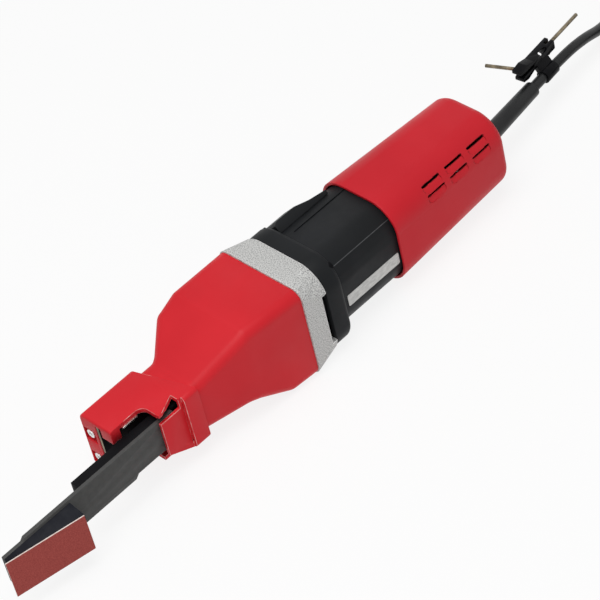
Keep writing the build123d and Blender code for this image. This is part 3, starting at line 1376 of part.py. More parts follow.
def holder_outline():
    """Side view: a bar with two flared prongs in front, as points of along, up and corner radius."""
    flare_high = holder_high + FORK_FLARE
    flare_low = holder_low - FORK_FLARE
    middle = holder_start + FORK_LENGTH / 2
    mouth = FORK_MOUTH / 2
    return [
        (holder_end, holder_low, HOLDER_EDGE),
        (holder_end, holder_high, HOLDER_EDGE),
        (fork_root, holder_high, FORK_PRONG),
        (middle, flare_high, FORK_PRONG),
        (holder_start, HOLDER_RISE + mouth + FORK_PRONG, 0),
        (holder_start, HOLDER_RISE + mouth, 0),
        (middle - FORK_PRONG, HOLDER_RISE + key_fit, 0),
        (fork_root, HOLDER_RISE + key_fit, 0),
        (fork_root, HOLDER_RISE - key_fit, 0),
        (middle - FORK_PRONG, HOLDER_RISE - key_fit, 0),
        (holder_start + FORK_FLARE, HOLDER_RISE - mouth, 0),
        (holder_start + FORK_FLARE, HOLDER_RISE - mouth - FORK_PRONG, 0),
        (middle, flare_low, FORK_PRONG),
        (fork_root, holder_low, FORK_PRONG),
    ]


def make_key_holder():
    body = extrude(holder_side() * rounded_face(holder_outline()), HOLDER_WIDTH)
    web = cord_plane(clip_start)
    web.origin = cord_point(clip_start, HOLDER_ACROSS / 2, HOLDER_RISE / 2)
    slope = degrees(atan2(HOLDER_RISE, HOLDER_ACROSS))
    reach = hypot(HOLDER_RISE, HOLDER_ACROSS)
    body += extrude(web * Rot(0, 0, slope) * Rectangle(reach, HOLDER_WEB), CLIP_LENGTH)
    body += extrude(cord_plane(clip_start) * Circle(CLIP_DIAMETER / 2), CLIP_LENGTH)
    body -= extrude(cord_plane(clip_start) * Circle(CORD_DIAMETER / 2 + RUNNING), CLIP_LENGTH)
    # window that slants through the bar, and the rear key's groove and hole
    out = Vector(0, 0, cos(radians(WINDOW_SLANT))) - key_across * sin(radians(WINDOW_SLANT))
    middle = cord_point(holder_start + WINDOW_START, HOLDER_ACROSS, HOLDER_RISE)
    window = Plane(middle - out * HOLDER_LENGTH / 2, x_dir=key_along, z_dir=out)
    body -= extrude(window * SlotOverall(WINDOW_LENGTH, WINDOW_WIDTH), HOLDER_LENGTH)
    groove = cord_plane(rear_key_s - KEY_SIZE)
    groove.origin = cord_point(rear_key_s - KEY_SIZE, HOLDER_ACROSS, HOLDER_RISE - KEY_BEND + HOLDER_HEIGHT / 2)
    body -= extrude(groove * Rectangle(2 * key_fit, HOLDER_HEIGHT), HOLDER_LENGTH)
    hole = Plane(cord_point(rear_key_s, HOLDER_ACROSS, holder_low), x_dir=key_along, z_dir=(0, 0, 1))
    return body - extrude(hole * RegularPolygon(key_fit, 6, major_radius=False), HOLDER_HEIGHT)


PARTS = {
    "gear_ring": make_gear_ring,
    "head_cover": make_head_cover,
    "nose_cover": make_nose_cover,
    "guide_plate": make_guide_plate,
    "nose_screws": make_nose_screws,
    "finger_arm": make_finger_arm,
    "finger_blade": make_finger_blade,
    "finger_screws": make_finger_screws,
    "sanding_shoe": make_sanding_shoe,
    "abrasive_strip": make_abrasive_strip,
    "pivot_pin": make_pivot_pin,
    "pivot_bush": make_pivot_bush,
    "eccentric_shaft": make_eccentric_shaft,
    "eccentric_bearing": make_eccentric_bearing,
    "shaft_bearing_outer_rings": lambda: make_shaft_rings(False),
    "shaft_bearing_inner_rings": lambda: make_shaft_rings(True),
    "drive_gear": make_drive_gear,
    "pinion": make_pinion,
    "bearing_plate": make_bearing_plate,
    "plate_screws": make_plate_screws,
    "front_bearing_outer_ring": lambda: bearing_ring(False, FRONT_BEARING, FRONT_BEARING_BORE, x_plate),
    "front_bearing_inner_ring": lambda: bearing_ring(True, FRONT_BEARING, FRONT_BEARING_BORE, x_plate),
    "rear_bearing_outer_ring": lambda: bearing_ring(False, REAR_BEARING, REAR_BEARING_BORE, x_rear_bearing),
    "rear_bearing_inner_ring": lambda: bearing_ring(True, REAR_BEARING, REAR_BEARING_BORE, x_rear_bearing),
    "motor_housing": make_motor_housing,
    "flange_screws": make_flange_screws,
    "switch_slider": make_switch_slider,
    "switch_rod": make_switch_rod,
    "switch_module": make_switch_module,
    "stator_core": make_stator_core,
    "field_coils": make_field_coils,
    "armature_shaft": make_armature_shaft,
    "armature_core": make_armature_core,
    "armature_windings": make_armature_windings,
    "commutator": make_commutator,
    "fan": make_fan,
    "brush_carrier": make_brush_carrier,
    "brush_holders": make_brush_holders,
    "carbon_brushes": make_carbon_brushes,
    "brush_springs": make_brush_springs,
    "chassis": make_chassis,
    "suppression_capacitor": make_capacitor,
    "cord_clamp": make_cord_clamp,
    "clamp_screws": make_clamp_screws,
    "rear_cap": make_rear_cap,
    "cap_screws": make_cap_screws,
    "strain_relief": make_strain_relief,
    "cord_inner": make_cord_inner,
    "cord": make_cord,
    "cord_coil": make_cord_coil,
    "plug": make_plug,
    "plug_pins": make_plug_pins,
    "key_holder": make_key_holder,
    "fork_key": make_fork_key,
    "rear_key": make_rear_key,
}

os.makedirs("parts", exist_ok=True)
for node, make in PARTS.items():
    write(node, make())
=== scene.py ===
# %% [markdown]
# # A finger sander, dressed for its portrait
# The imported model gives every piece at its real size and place. This lesson
# dresses those pieces: it rounds their edges, gives each surface its finish,
# lays the lead, and sets up the light and the camera.

# %% Load the frame
import json
from math import atan2, cos, pi, radians, sin

import bmesh
import bpy
from mathutils import Matrix, Vector
from mathutils.kdtree import KDTree


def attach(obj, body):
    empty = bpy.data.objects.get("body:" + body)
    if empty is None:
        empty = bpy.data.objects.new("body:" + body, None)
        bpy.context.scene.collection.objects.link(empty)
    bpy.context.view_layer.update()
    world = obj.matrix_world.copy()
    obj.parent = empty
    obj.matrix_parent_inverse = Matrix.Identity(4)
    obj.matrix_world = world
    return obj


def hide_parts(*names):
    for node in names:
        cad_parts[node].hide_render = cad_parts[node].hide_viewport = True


MM = 0.001
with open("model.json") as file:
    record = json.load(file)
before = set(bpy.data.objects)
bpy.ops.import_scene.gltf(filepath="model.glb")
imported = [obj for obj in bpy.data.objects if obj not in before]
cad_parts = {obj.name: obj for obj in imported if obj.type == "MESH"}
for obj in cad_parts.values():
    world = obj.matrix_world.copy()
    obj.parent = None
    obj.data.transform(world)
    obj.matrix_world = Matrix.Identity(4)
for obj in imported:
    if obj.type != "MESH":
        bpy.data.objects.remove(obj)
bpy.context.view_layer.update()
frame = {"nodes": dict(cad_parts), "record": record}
bodies = frame["record"]["behaviour"]["bodies"]
body_of = {node: body for body, nodes in bodies.items() for node in nodes}
print("nodes in the frame:", len(frame["nodes"]))

# %% [markdown]
# ## Camera
# The tool was photographed from above its open side, with a long lens and
# the camera rolled, so that it lies across the picture. A camera could be
# aimed by a Track To constraint, but that leaves out the roll. Here its axes
# are worked out from three angles, and its place from the point on the tool
# that stands near the middle of the picture.

# %% Camera axes
AZIMUTH = radians(-35.9)
ELEVATION = radians(43.1)
ROLL = radians(14.5)

towards = Vector(
    (
        sin(AZIMUTH) * cos(ELEVATION),
        -cos(AZIMUTH) * cos(ELEVATION),
        sin(ELEVATION),
    )
)
level = Vector((cos(AZIMUTH), sin(AZIMUTH), 0.0))
upright = towards.cross(level)
camera_x = cos(ROLL) * level - sin(ROLL) * upright
camera_y = sin(ROLL) * level + cos(ROLL) * upright
print("the camera looks along", [round(-v, 3) for v in towards])

# %% Camera
FOCAL_PIXELS = 3000.0
IMAGE_PIXELS = 600.0
SENSOR_MM = 36.0
PIXELS_PER_MM = 1.47
LOOK_POINT = Vector((-10.5, 0.0, 40.0)) * MM
LOOK_PIXEL = (269.5, 312.0)
SIGHT_LIMIT = 20.0

distance = FOCAL_PIXELS / PIXELS_PER_MM * MM
aside = (LOOK_PIXEL[0] - IMAGE_PIXELS / 2) * distance / FOCAL_PIXELS
above = (IMAGE_PIXELS / 2 - LOOK_PIXEL[1]) * distance / FOCAL_PIXELS
eye = LOOK_POINT + towards * distance - camera_x * aside - camera_y * above

bpy.ops.object.camera_add()
camera = bpy.context.object
camera.name = "portrait_camera"
camera.data.sensor_width = SENSOR_MM
camera.data.lens = FOCAL_PIXELS / IMAGE_PIXELS * SENSOR_MM
camera.data.clip_end = SIGHT_LIMIT
axes = Matrix((camera_x, camera_y, towards)).transposed()
camera.matrix_world = Matrix.Translation(eye) @ axes.to_4x4()
bpy.context.scene.camera = camera
print("camera stands at", [round(v, 3) for v in eye], "with lens", camera.data.lens)

# %% [markdown]
# ## Finishes
# Every finish is one Principled shader. What makes it read as a moulded
# shell, a casting or a rubber is small: a little colour drift, a little
# uneven gloss and a fine grain in the normal. Three helpers add those, each
# from noise in the object's own coordinates, so a pattern stays with its piece.

# %% Helper for a plain finish
EVEN = (1.0, 1.0, 1.0)


def new_finish(name, colour, roughness, metallic=0.0, mirror=0.5):
    """One Principled shader; mirror is the strength of its clear reflection."""
    finish = bpy.data.materials.new(name)
    finish.use_nodes = True
    shader = finish.node_tree.nodes["Principled BSDF"]
    shader.inputs["Base Color"].default_value = (*colour, 1.0)
    shader.inputs["Roughness"].default_value = roughness
    shader.inputs["Metallic"].default_value = metallic
    shader.inputs["Specular IOR Level"].default_value = mirror
    return finish


def noise(finish, scale, detail=4.0, stretch=EVEN):
    """Noise in object coordinates; scale counts features per metre."""
    nodes = finish.node_tree.nodes
    links = finish.node_tree.links
    place = nodes.new("ShaderNodeTexCoord")
    mapping = nodes.new("ShaderNodeMapping")
    mapping.inputs["Scale"].default_value = stretch
    links.new(place.outputs["Object"], mapping.inputs["Vector"])
    texture = nodes.new("ShaderNodeTexNoise")
    texture.inputs["Scale"].default_value = scale
    texture.inputs["Detail"].default_value = detail
    links.new(mapping.outputs["Vector"], texture.inputs["Vector"])
    return texture


# %% Helpers for colour, gloss and grain
NOISE_RANGE = (0.3, 0.7)


def drift(finish, first, second, scale, low=0.35, high=0.65, stretch=EVEN):
    """Base colour that wanders between two tones."""
    nodes = finish.node_tree.nodes
    links = finish.node_tree.links
    ramp = nodes.new("ShaderNodeValToRGB")
    ramp.color_ramp.elements[0].position = low
    ramp.color_ramp.elements[0].color = (*first, 1.0)
    ramp.color_ramp.elements[1].position = high
    ramp.color_ramp.elements[1].color = (*second, 1.0)
    links.new(noise(finish, scale, stretch=stretch).outputs["Fac"], ramp.inputs["Fac"])
    links.new(ramp.outputs["Color"], nodes["Principled BSDF"].inputs["Base Color"])


def uneven_gloss(finish, low, high, scale, stretch=EVEN):
    """Roughness that wanders between two values."""
    nodes = finish.node_tree.nodes
    links = finish.node_tree.links
    spread = nodes.new("ShaderNodeMapRange")
    spread.inputs["From Min"].default_value = NOISE_RANGE[0]
    spread.inputs["From Max"].default_value = NOISE_RANGE[1]
    spread.inputs["To Min"].default_value = low
    spread.inputs["To Max"].default_value = high
    links.new(noise(finish, scale, stretch=stretch).outputs["Fac"], spread.inputs["Value"])
    links.new(spread.outputs["Result"], nodes["Principled BSDF"].inputs["Roughness"])


def grain(finish, scale, depth_mm, strength=1.0, detail=2.0, stretch=EVEN):
    """Fine relief in the normal; depth is the height of the relief."""
    nodes = finish.node_tree.nodes
    links = finish.node_tree.links
    bump = nodes.new("ShaderNodeBump")
    bump.inputs["Strength"].default_value = strength
    bump.inputs["Distance"].default_value = depth_mm * MM
    links.new(noise(finish, scale, detail, stretch).outputs["Fac"], bump.inputs["Height"])
    links.new(bump.outputs["Normal"], nodes["Principled BSDF"].inputs["Normal"])


# %% [markdown]
# ### Red shells
# Head and nose are satin lacquer over a fine casting grain, and the nose's
# sharp edges carry a pale painted highlight. The rear cap is a moulding of a
# deeper red, with a darker painted shade in its air slots. An image of lacquer
# would blur close up, and noise does not, so the small unevenness is drawn by the shader.

# %% Red shells
red = new_finish("red_lacquer", (0.68, 0.018, 0.027), 0.46, mirror=0.2)
drift(red, (0.65, 0.016, 0.025), (0.71, 0.020, 0.030), 14.0)
uneven_gloss(red, 0.42, 0.52, 60.0)
grain(red, 2600.0, 0.02, 0.3)

# Painted highlight: a pale red that stands for the light caught by sharp edges.
red_painted_highlight = new_finish("pale_red_painted_highlight", (0.76, 0.24, 0.23), 0.38)
drift(red_painted_highlight, (0.62, 0.04, 0.05), (0.90, 0.52, 0.48), 160.0)
uneven_gloss(red_painted_highlight, 0.32, 0.44, 120.0)

red_cap = new_finish("red_moulding", (0.60, 0.013, 0.024), 0.44, mirror=0.22)
drift(red_cap, (0.57, 0.012, 0.022), (0.63, 0.016, 0.027), 11.0)
uneven_gloss(red_cap, 0.40, 0.50, 50.0)
grain(red_cap, 2200.0, 0.02, 0.25)

# Painted shade: a dark red that stands for the shadow in the cap's slots.
red_painted_shade = new_finish("red_moulding_painted_shade", (0.24, 0.010, 0.014), 0.6, mirror=0.2)
drift(red_painted_shade, (0.16, 0.006, 0.010), (0.32, 0.014, 0.018), 300.0)
print("finishes after the red shells:", len(bpy.data.materials))

# %% [markdown]
# ### Black mouldings and rubber
# The barrel is glass-filled plastic, dull and coarse of grain, with a grey
# painted highlight along its crease. The key clip is glossy. Relief, lead and
# plug are rubber. All are nearly black, so it is mostly the gloss that tells them apart.

# %% Black mouldings and rubber
black = new_finish("black_moulding", (0.012, 0.013, 0.014), 0.5, mirror=0.11)
drift(black, (0.010, 0.011, 0.012), (0.015, 0.016, 0.018), 18.0)
uneven_gloss(black, 0.44, 0.56, 90.0)
grain(black, 2400.0, 0.03, 0.5)

# Painted highlight: a lighter grey that stands for the light along the barrel's crease.
black_painted_highlight = new_finish("black_crease_painted_highlight", (0.05, 0.052, 0.055), 0.4, mirror=0.4)
drift(black_painted_highlight, (0.03, 0.031, 0.033), (0.075, 0.078, 0.082), 120.0)

gloss_black = new_finish("glossy_black_clip", (0.005, 0.005, 0.006), 0.24, mirror=0.08)
drift(gloss_black, (0.003, 0.003, 0.004), (0.007, 0.007, 0.008), 120.0)
uneven_gloss(gloss_black, 0.16, 0.3, 260.0)

rubber = new_finish("black_rubber", (0.010, 0.010, 0.011), 0.36, mirror=0.28)
drift(rubber, (0.006, 0.0065, 0.007), (0.013, 0.0135, 0.014), 40.0)
uneven_gloss(rubber, 0.3, 0.42, 120.0)
grain(rubber, 1800.0, 0.02, 0.4)
print("finishes after the black pieces:", len(bpy.data.materials))

# %% [markdown]
# ### Metals
# The ring is bare sand-cast aluminium: its skin is speckled, bright on the
# grains and grey between them, so its colour and its relief both take a
# coarse noise. Screws, keys and steel strip differ in tone and in gloss.

# %% Metals
cast = new_finish("sand_cast_aluminium", (0.60, 0.60, 0.59), 0.5, 0.3, 0.3)
drift(cast, (0.24, 0.24, 0.24), (0.66, 0.66, 0.645), 1300.0, 0.34, 0.56)
uneven_gloss(cast, 0.40, 0.60, 500.0)
grain(cast, 1000.0, 0.08, 0.9, 3.0)

# Painted highlight: a near-white that stands for the light caught by the ring's edges.
cast_painted_highlight = new_finish("casting_edge_painted_highlight", (0.92, 0.92, 0.90), 0.36, 0.2)
drift(cast_painted_highlight, (0.84, 0.84, 0.83), (0.97, 0.97, 0.95), 600.0)
uneven_gloss(cast_painted_highlight, 0.28, 0.44, 500.0)

bright = new_finish("bright_steel", (0.62, 0.61, 0.58), 0.28, 1.0)
drift(bright, (0.55, 0.54, 0.51), (0.68, 0.67, 0.64), 60.0)
uneven_gloss(bright, 0.2, 0.36, 300.0)
grain(bright, 900.0, 0.01, 0.4, stretch=(0.1, 1.0, 1.0))

key_steel = new_finish("warm_key_steel", (0.20, 0.16, 0.11), 0.32, 1.0)
drift(key_steel, (0.12, 0.10, 0.07), (0.30, 0.25, 0.17), 200.0)
uneven_gloss(key_steel, 0.25, 0.4, 300.0)

screw_steel = new_finish("plated_screw_steel", (0.82, 0.82, 0.80), 0.3, 0.8)
drift(screw_steel, (0.74, 0.74, 0.73), (0.90, 0.90, 0.88), 300.0)
uneven_gloss(screw_steel, 0.22, 0.38, 500.0)
print("finishes after the metals:", len(bpy.data.materials))

# %% [markdown]
# ### Finger
# The arm is blackened steel, the blade a flat graphite grey and the shoe a
# dense black felt rubber. The blade's gloss is stretched along its length,
# as a ground strip has it.

# %% Finger finishes
arm_black = new_finish("blackened_arm", (0.007, 0.007, 0.008), 0.5, mirror=0.04)
drift(arm_black, (0.005, 0.005, 0.006), (0.009, 0.009, 0.010), 50.0)
uneven_gloss(arm_black, 0.44, 0.56, 140.0)
grain(arm_black, 1500.0, 0.02, 0.4)

blade_grey = new_finish("graphite_blade", (0.074, 0.074, 0.072), 0.5, mirror=0.15)
drift(blade_grey, (0.069, 0.069, 0.068), (0.079, 0.079, 0.077), 260.0)
uneven_gloss(blade_grey, 0.42, 0.58, 200.0, (0.2, 1.0, 1.0))
grain(blade_grey, 1400.0, 0.02, 0.5)

shoe_black = new_finish("shoe_felt_rubber", (0.013, 0.014, 0.019), 0.62, mirror=0.1)
drift(shoe_black, (0.010, 0.011, 0.016), (0.018, 0.019, 0.024), 90.0)
uneven_gloss(shoe_black, 0.55, 0.7, 160.0)
grain(shoe_black, 1200.0, 0.04, 0.6)
print("finishes after the finger:", len(bpy.data.materials))

# %% [markdown]
# ### Foil and abrasive
# The plate on the barrel is a silvered foil with a fine brushed speckle. The
# abrasive is closed-coat grain on cloth: red-brown grit, and a pale cut edge
# where the backing shows. The grit has the strongest relief of all finishes.

# %% Foil and abrasive
label_foil = new_finish("label_foil", (0.56, 0.56, 0.54), 0.42, 0.35)
drift(label_foil, (0.46, 0.46, 0.45), (0.66, 0.66, 0.64), 700.0, 0.3, 0.7, (0.4, 1.0, 1.0))
uneven_gloss(label_foil, 0.34, 0.5, 300.0)

grit = new_finish("red_brown_grit", (0.38, 0.070, 0.060), 0.85, mirror=0.2)
drift(grit, (0.30, 0.050, 0.043), (0.46, 0.092, 0.078), 1500.0, 0.3, 0.7)
grain(grit, 2600.0, 0.10, 1.0, 3.0)

backing = new_finish("pale_backing_edge", (0.86, 0.72, 0.66), 0.8)
drift(backing, (0.76, 0.58, 0.52), (0.92, 0.84, 0.78), 600.0)
print("finishes after the abrasive:", len(bpy.data.materials))

# %% [markdown]
# ### Inner finishes
# The inner pieces show only when the tool is opened, but each still gets
# its own finish: laminations, copper, bronze, carbon and film. The noise of
# the laminations is squeezed along the axis, which makes it read as a stack.

# %% Inner finishes
laminations = new_finish("stacked_laminations", (0.20, 0.20, 0.21), 0.45, 0.9)
drift(laminations, (0.14, 0.14, 0.15), (0.28, 0.28, 0.29), 120.0, stretch=(12.0, 1.0, 1.0))
copper = new_finish("enamelled_copper", (0.50, 0.20, 0.08), 0.35, 0.9)
drift(copper, (0.40, 0.15, 0.06), (0.60, 0.26, 0.11), 180.0)
bronze = new_finish("bearing_bronze", (0.50, 0.34, 0.15), 0.4, 1.0)
drift(bronze, (0.42, 0.28, 0.12), (0.58, 0.40, 0.19), 150.0)
carbon = new_finish("brush_carbon", (0.03, 0.03, 0.03), 0.6)
drift(carbon, (0.02, 0.02, 0.02), (0.05, 0.05, 0.05), 400.0)
film = new_finish("capacitor_film", (0.62, 0.48, 0.08), 0.3)
drift(film, (0.56, 0.43, 0.07), (0.68, 0.53, 0.10), 80.0)
fan_grey = new_finish("fan_moulding", (0.10, 0.10, 0.11), 0.5)
drift(fan_grey, (0.08, 0.08, 0.09), (0.12, 0.12, 0.13), 60.0)
pin_metal = new_finish("nickelled_pin", (0.60, 0.57, 0.50), 0.25, 1.0)
drift(pin_metal, (0.54, 0.51, 0.44), (0.66, 0.63, 0.56), 200.0)
print("finishes in all:", len(bpy.data.materials))

# %% [markdown]
# ## Dressing a piece
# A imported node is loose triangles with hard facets. A dressed piece starts as
# a copy of it that is welded, and whose flat facets are dissolved into whole
# faces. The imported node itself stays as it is: the copy stands for it in the
# picture and rides on the same body.

# %% Helpers for copies
WELD = 0.002 * MM
FLAT = radians(0.5)


def only(piece):
    """Select one piece alone, in object mode."""
    if bpy.context.mode != "OBJECT":
        bpy.ops.object.mode_set(mode="OBJECT")
    bpy.ops.object.select_all(action="DESELECT")
    piece.select_set(True)
    bpy.context.view_layer.objects.active = piece


def dissolve_flats(piece):
    """Weld a piece and join the facets that lie in one plane."""
    only(piece)
    bpy.ops.object.mode_set(mode="EDIT")
    bpy.ops.mesh.select_all(action="SELECT")
    bpy.ops.mesh.remove_doubles(threshold=WELD)
    bpy.ops.mesh.dissolve_limited(angle_limit=FLAT)
    bpy.ops.object.mode_set(mode="OBJECT")


def welded_copy(node, *finishes):
    """A copy that stands for a node, with one or more finishes."""
    piece = bpy.data.objects.new(node + "_piece", frame["nodes"][node].data.copy())
    bpy.context.scene.collection.objects.link(piece)
    only(piece)
    bpy.ops.mesh.customdata_custom_splitnormals_clear()
    piece.data.materials.clear()
    for finish in finishes:
        piece.data.materials.append(finish)
    dissolve_flats(piece)
    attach(piece, body_of[node])
    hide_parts(node)
    return piece


# %% [markdown]
# ## Rounding edges
# No real edge is a perfect corner, and a narrow round catches the light. The
# round comes from a Bevel modifier. It could take every edge above an angle
# by itself, but here it reads a weight from each edge, so that one edge can
# stay square, or take less, without the others.

# %% Helpers for weighted rounds
WEIGHT_NAME = "bevel_weight_edge"
SHARP = radians(32.0)


def edge_weights(piece):
    """A fresh set of bevel weights, all zero."""
    old = piece.data.attributes.get(WEIGHT_NAME)
    if old:
        piece.data.attributes.remove(old)
    return piece.data.attributes.new(WEIGHT_NAME, "FLOAT", "EDGE").data


def weighted_bevel(piece, round_mm, segments, slot=-1):
    """A live Bevel modifier that follows the weights."""
    bevel = piece.modifiers.new("edge", "BEVEL")
    bevel.width = round_mm * MM
    bevel.segments = segments
    bevel.limit_method = "WEIGHT"
    bevel.use_clamp_overlap = False
    bevel.loop_slide = False
    bevel.material = slot


def clear_choice(piece, kind):
    """Edit mode for edges or faces, with none chosen yet."""
    only(piece)
    bpy.ops.object.mode_set(mode="EDIT")
    bpy.ops.mesh.select_mode(type=kind)
    bpy.ops.mesh.select_all(action="DESELECT")


def sharp_edges(piece):
    """The edges that bend by more than the sharp angle."""
    clear_choice(piece, "EDGE")
    bpy.ops.mesh.edges_select_sharp(sharpness=SHARP)
    bpy.ops.object.mode_set(mode="OBJECT")
    return [edge for edge in piece.data.edges if edge.select]


def weigh_sharp(piece):
    """Full bevel weight on the sharp edges."""
    edges = sharp_edges(piece)
    weights = edge_weights(piece)
    for edge in edges:
        weights[edge.index].value = 1.0
    return edges, weights


# %% [markdown]
# ### Tight places
# Where a wall is thinner than the rounds on its two sides, a bevel runs
# through itself and its faces lie back on each other. The modifier's own
# clamp would thin every round of the piece. Instead the folds are found, and
# the sharp edges near them are left square, again and again until none is
# left to spare. Long edges are cut into short ones first, so that only the
# tight stretch stays square.

# %% Helpers that find and cut
FOLD = -0.8
LONG_EDGE = 3.0
LONG_EDGE_CUTS = 9


def folds(piece):
    """Corners of the triangles that, with the modifiers on, lie back on a neighbour."""
    shown = piece.evaluated_get(bpy.context.evaluated_depsgraph_get())
    mesh = shown.to_mesh()
    mesh.calc_loop_triangles()
    first_normal = {}
    places = []
    for triangle in mesh.loop_triangles:
        a, b, c = triangle.vertices
        normal = triangle.normal.copy()
        for pair in ((a, b), (b, c), (c, a)):
            key = (min(pair), max(pair))
            if normal.dot(first_normal.setdefault(key, normal)) < FOLD:
                places += [mesh.vertices[i].co.copy() for i in triangle.vertices]
    shown.to_mesh_clear()
    return places


def points_along(mesh, edge, step):
    """Points on an edge, a step apart at most."""
    first, second = (mesh.vertices[i].co for i in edge.vertices)
    count = int((second - first).length / step) + 1
    return [first.lerp(second, i / count) for i in range(count + 1)]


def split_long(piece, edges):
    """Cut long edges into shorter ones, with the faces left whole."""
    mesh = bmesh.new()
    mesh.from_mesh(piece.data)
    mesh.edges.ensure_lookup_table()
    chosen = [mesh.edges[edge.index] for edge in edges]
    chosen = [edge for edge in chosen if edge.calc_length() > LONG_EDGE * MM]
    bmesh.ops.bisect_edges(mesh, edges=chosen, cuts=LONG_EDGE_CUTS)
    mesh.to_mesh(piece.data)
    mesh.free()


# %% Helper that spares tight edges
FOLD_REACH = 1.2
SEARCH_ROUNDS = 12
TRIANGLE_CORNERS = 3


def spare_tight(piece, round_mm):
    """Leave sharp edges square where their rounds would run into each other."""
    split_long(piece, sharp_edges(piece))
    edges, weights = weigh_sharp(piece)
    step = round_mm * MM
    sites = [(e.index, p) for e in edges for p in points_along(piece.data, e, step)]
    tree = KDTree(len(sites))
    for i, (_, point) in enumerate(sites):
        tree.insert(point, i)
    tree.balance()
    reach = FOLD_REACH * round_mm * MM
    for _ in range(SEARCH_ROUNDS):
        near = [tree.find_range(place, reach) for place in folds(piece)]
        tight = {sites[i][0] for found in near for _, i, _ in found}
        tight = {index for index in tight if weights[index].value > 0}
        if not tight:
            break
        for index in tight:
            weights[index].value = 0.0
        piece.data.update()
    square = sum(weights[edge.index].value == 0 for edge in edges)
    left = len(folds(piece)) // TRIANGLE_CORNERS
    print(piece.name, "edges left square:", square, "of", len(edges), "folds left:", left)


# %% Helpers that soften and dress
EDGE_SEGMENTS = 2
SKIN = 0
ACCENT = 1


def soften(piece, round_mm, edge_slot=-1):
    """Round the sharp edges, with the finish of edge_slot, and smooth the rest."""
    only(piece)
    if round_mm > 0:
        weigh_sharp(piece)
        weighted_bevel(piece, round_mm, EDGE_SEGMENTS, edge_slot)
        if folds(piece):
            spare_tight(piece, round_mm)
        only(piece)
        bpy.ops.object.modifier_apply(modifier="edge")
    bpy.ops.object.shade_smooth_by_angle(angle=SHARP)


def dress(node, finish, round_mm):
    """A node's copy with one finish and rounded edges."""
    piece = welded_copy(node, finish)
    soften(piece, round_mm)
    print(piece.name, "faces:", len(piece.data.polygons))
    return piece


# %% [markdown]
# ## Shaping by hand
# Shaping needs a choice of edges or faces. With a mouse they would be
# clicked. Two helpers choose them by place, in millimetres, and leave the
# piece in edit mode, ready for the next operator. A third adds the box that
# a new piece starts from.

# %% Helpers for shaping
def pick_edges(piece, wanted):
    """Choose edges by a test of their two ends."""
    clear_choice(piece, "EDGE")
    bpy.ops.object.mode_set(mode="OBJECT")
    mesh = piece.data
    for edge in mesh.edges:
        first, second = (mesh.vertices[i].co / MM for i in edge.vertices)
        edge.select = wanted(first, second)
    bpy.ops.object.mode_set(mode="EDIT")


def pick_faces(piece, wanted):
    """Choose faces by a test of their centre and normal."""
    clear_choice(piece, "FACE")
    bpy.ops.object.mode_set(mode="OBJECT")
    for face in piece.data.polygons:
        face.select = wanted(face.center / MM, face.normal)
    bpy.ops.object.mode_set(mode="EDIT")


def block(name, low, high):
    """A box between two corners in millimetres, as a start for a shaped piece."""
    low, high = Vector(low) * MM, Vector(high) * MM
    bpy.ops.object.select_all(action="DESELECT")
    bpy.ops.mesh.primitive_cube_add(size=1.0, location=(low + high) / 2)
    piece = bpy.context.object
    piece.name = name
    piece.scale = high - low
    bpy.ops.object.transform_apply(location=True, rotation=True, scale=True)
    return piece


# %% [markdown]
# ## Outer pieces
# Each shell, grip and fastener that shows is dressed with its own finish and
# with the edge round that such a piece has. The ring's rear edges, where they
# stand proud of the flange, take a bright painted highlight. Its front edges
# meet the red head and keep the skin of the casting.

# %% Head, ring, switch and relief
PAINTED_HIGHLIGHT_FROM_X = 0.0

dress("head_cover", red, round_mm=0.5)
# The ring's sharp edges take the painted highlight, and the front ones lose it again.
ring = welded_copy("gear_ring", cast, cast_painted_highlight)
soften(ring, round_mm=0.4, edge_slot=ACCENT)
for face in ring.data.polygons:
    if face.center.x < PAINTED_HIGHLIGHT_FROM_X:
        face.material_index = SKIN
dress("switch_slider", black, round_mm=0.4)
dress("strain_relief", rubber, round_mm=0.25)
print("ring faces:", len(ring.data.polygons))

# %% [markdown]
# ### Barrel
# The barrel's near side is flatter than a plain round: a long crease divides
# it from the domed top. A bevel could not flatten it, so the round's vertices
# below the crease are drawn onto a straight line, most at the flange. The
# crease gets a narrow bevel with a lighter grey painted highlight, and shows
# as a thin line of light.

# %% Barrel's round
ROUND_RADIUS = 22.0
ROUND_Y = -11.5
ROUND_Z = 51.5
CREASE = radians(39.13)
BARREL_FRONT = 26.0
RADIUS_SLACK = 0.1
ANGLE_SLACK = 0.01


def angle_on_round(p):
    """Angle of a point on the barrel's near upper round, or None away from it."""
    spoke = Vector((ROUND_Y - p.y, p.z - ROUND_Z))
    if p.x > BARREL_FRONT and abs(spoke.length - ROUND_RADIUS) < RADIUS_SLACK:
        return atan2(spoke.y, spoke.x)
    return None


def on_crease(p):
    angle = angle_on_round(p)
    return angle is not None and abs(angle - CREASE) < ANGLE_SLACK


# %% Barrel
BARREL_MIDDLE = 58.0
FLAT_AT_CAP = 0.35
CREASE_BEVEL = 0.3

housing = welded_copy("motor_housing", black, black_painted_highlight)
for corner in housing.data.vertices:
    p = corner.co / MM
    angle = angle_on_round(p)
    if angle is not None and ANGLE_SLACK < angle < CREASE - ANGLE_SLACK:
        flat = ROUND_RADIUS * cos(CREASE / 2) / cos(angle - CREASE / 2)
        share = 1.0 if p.x < BARREL_MIDDLE else FLAT_AT_CAP
        reach = ROUND_RADIUS + (flat - ROUND_RADIUS) * share
        corner.co.y = (ROUND_Y - reach * cos(angle)) * MM
        corner.co.z = (ROUND_Z + reach * sin(angle)) * MM
soften(housing, round_mm=0.4)
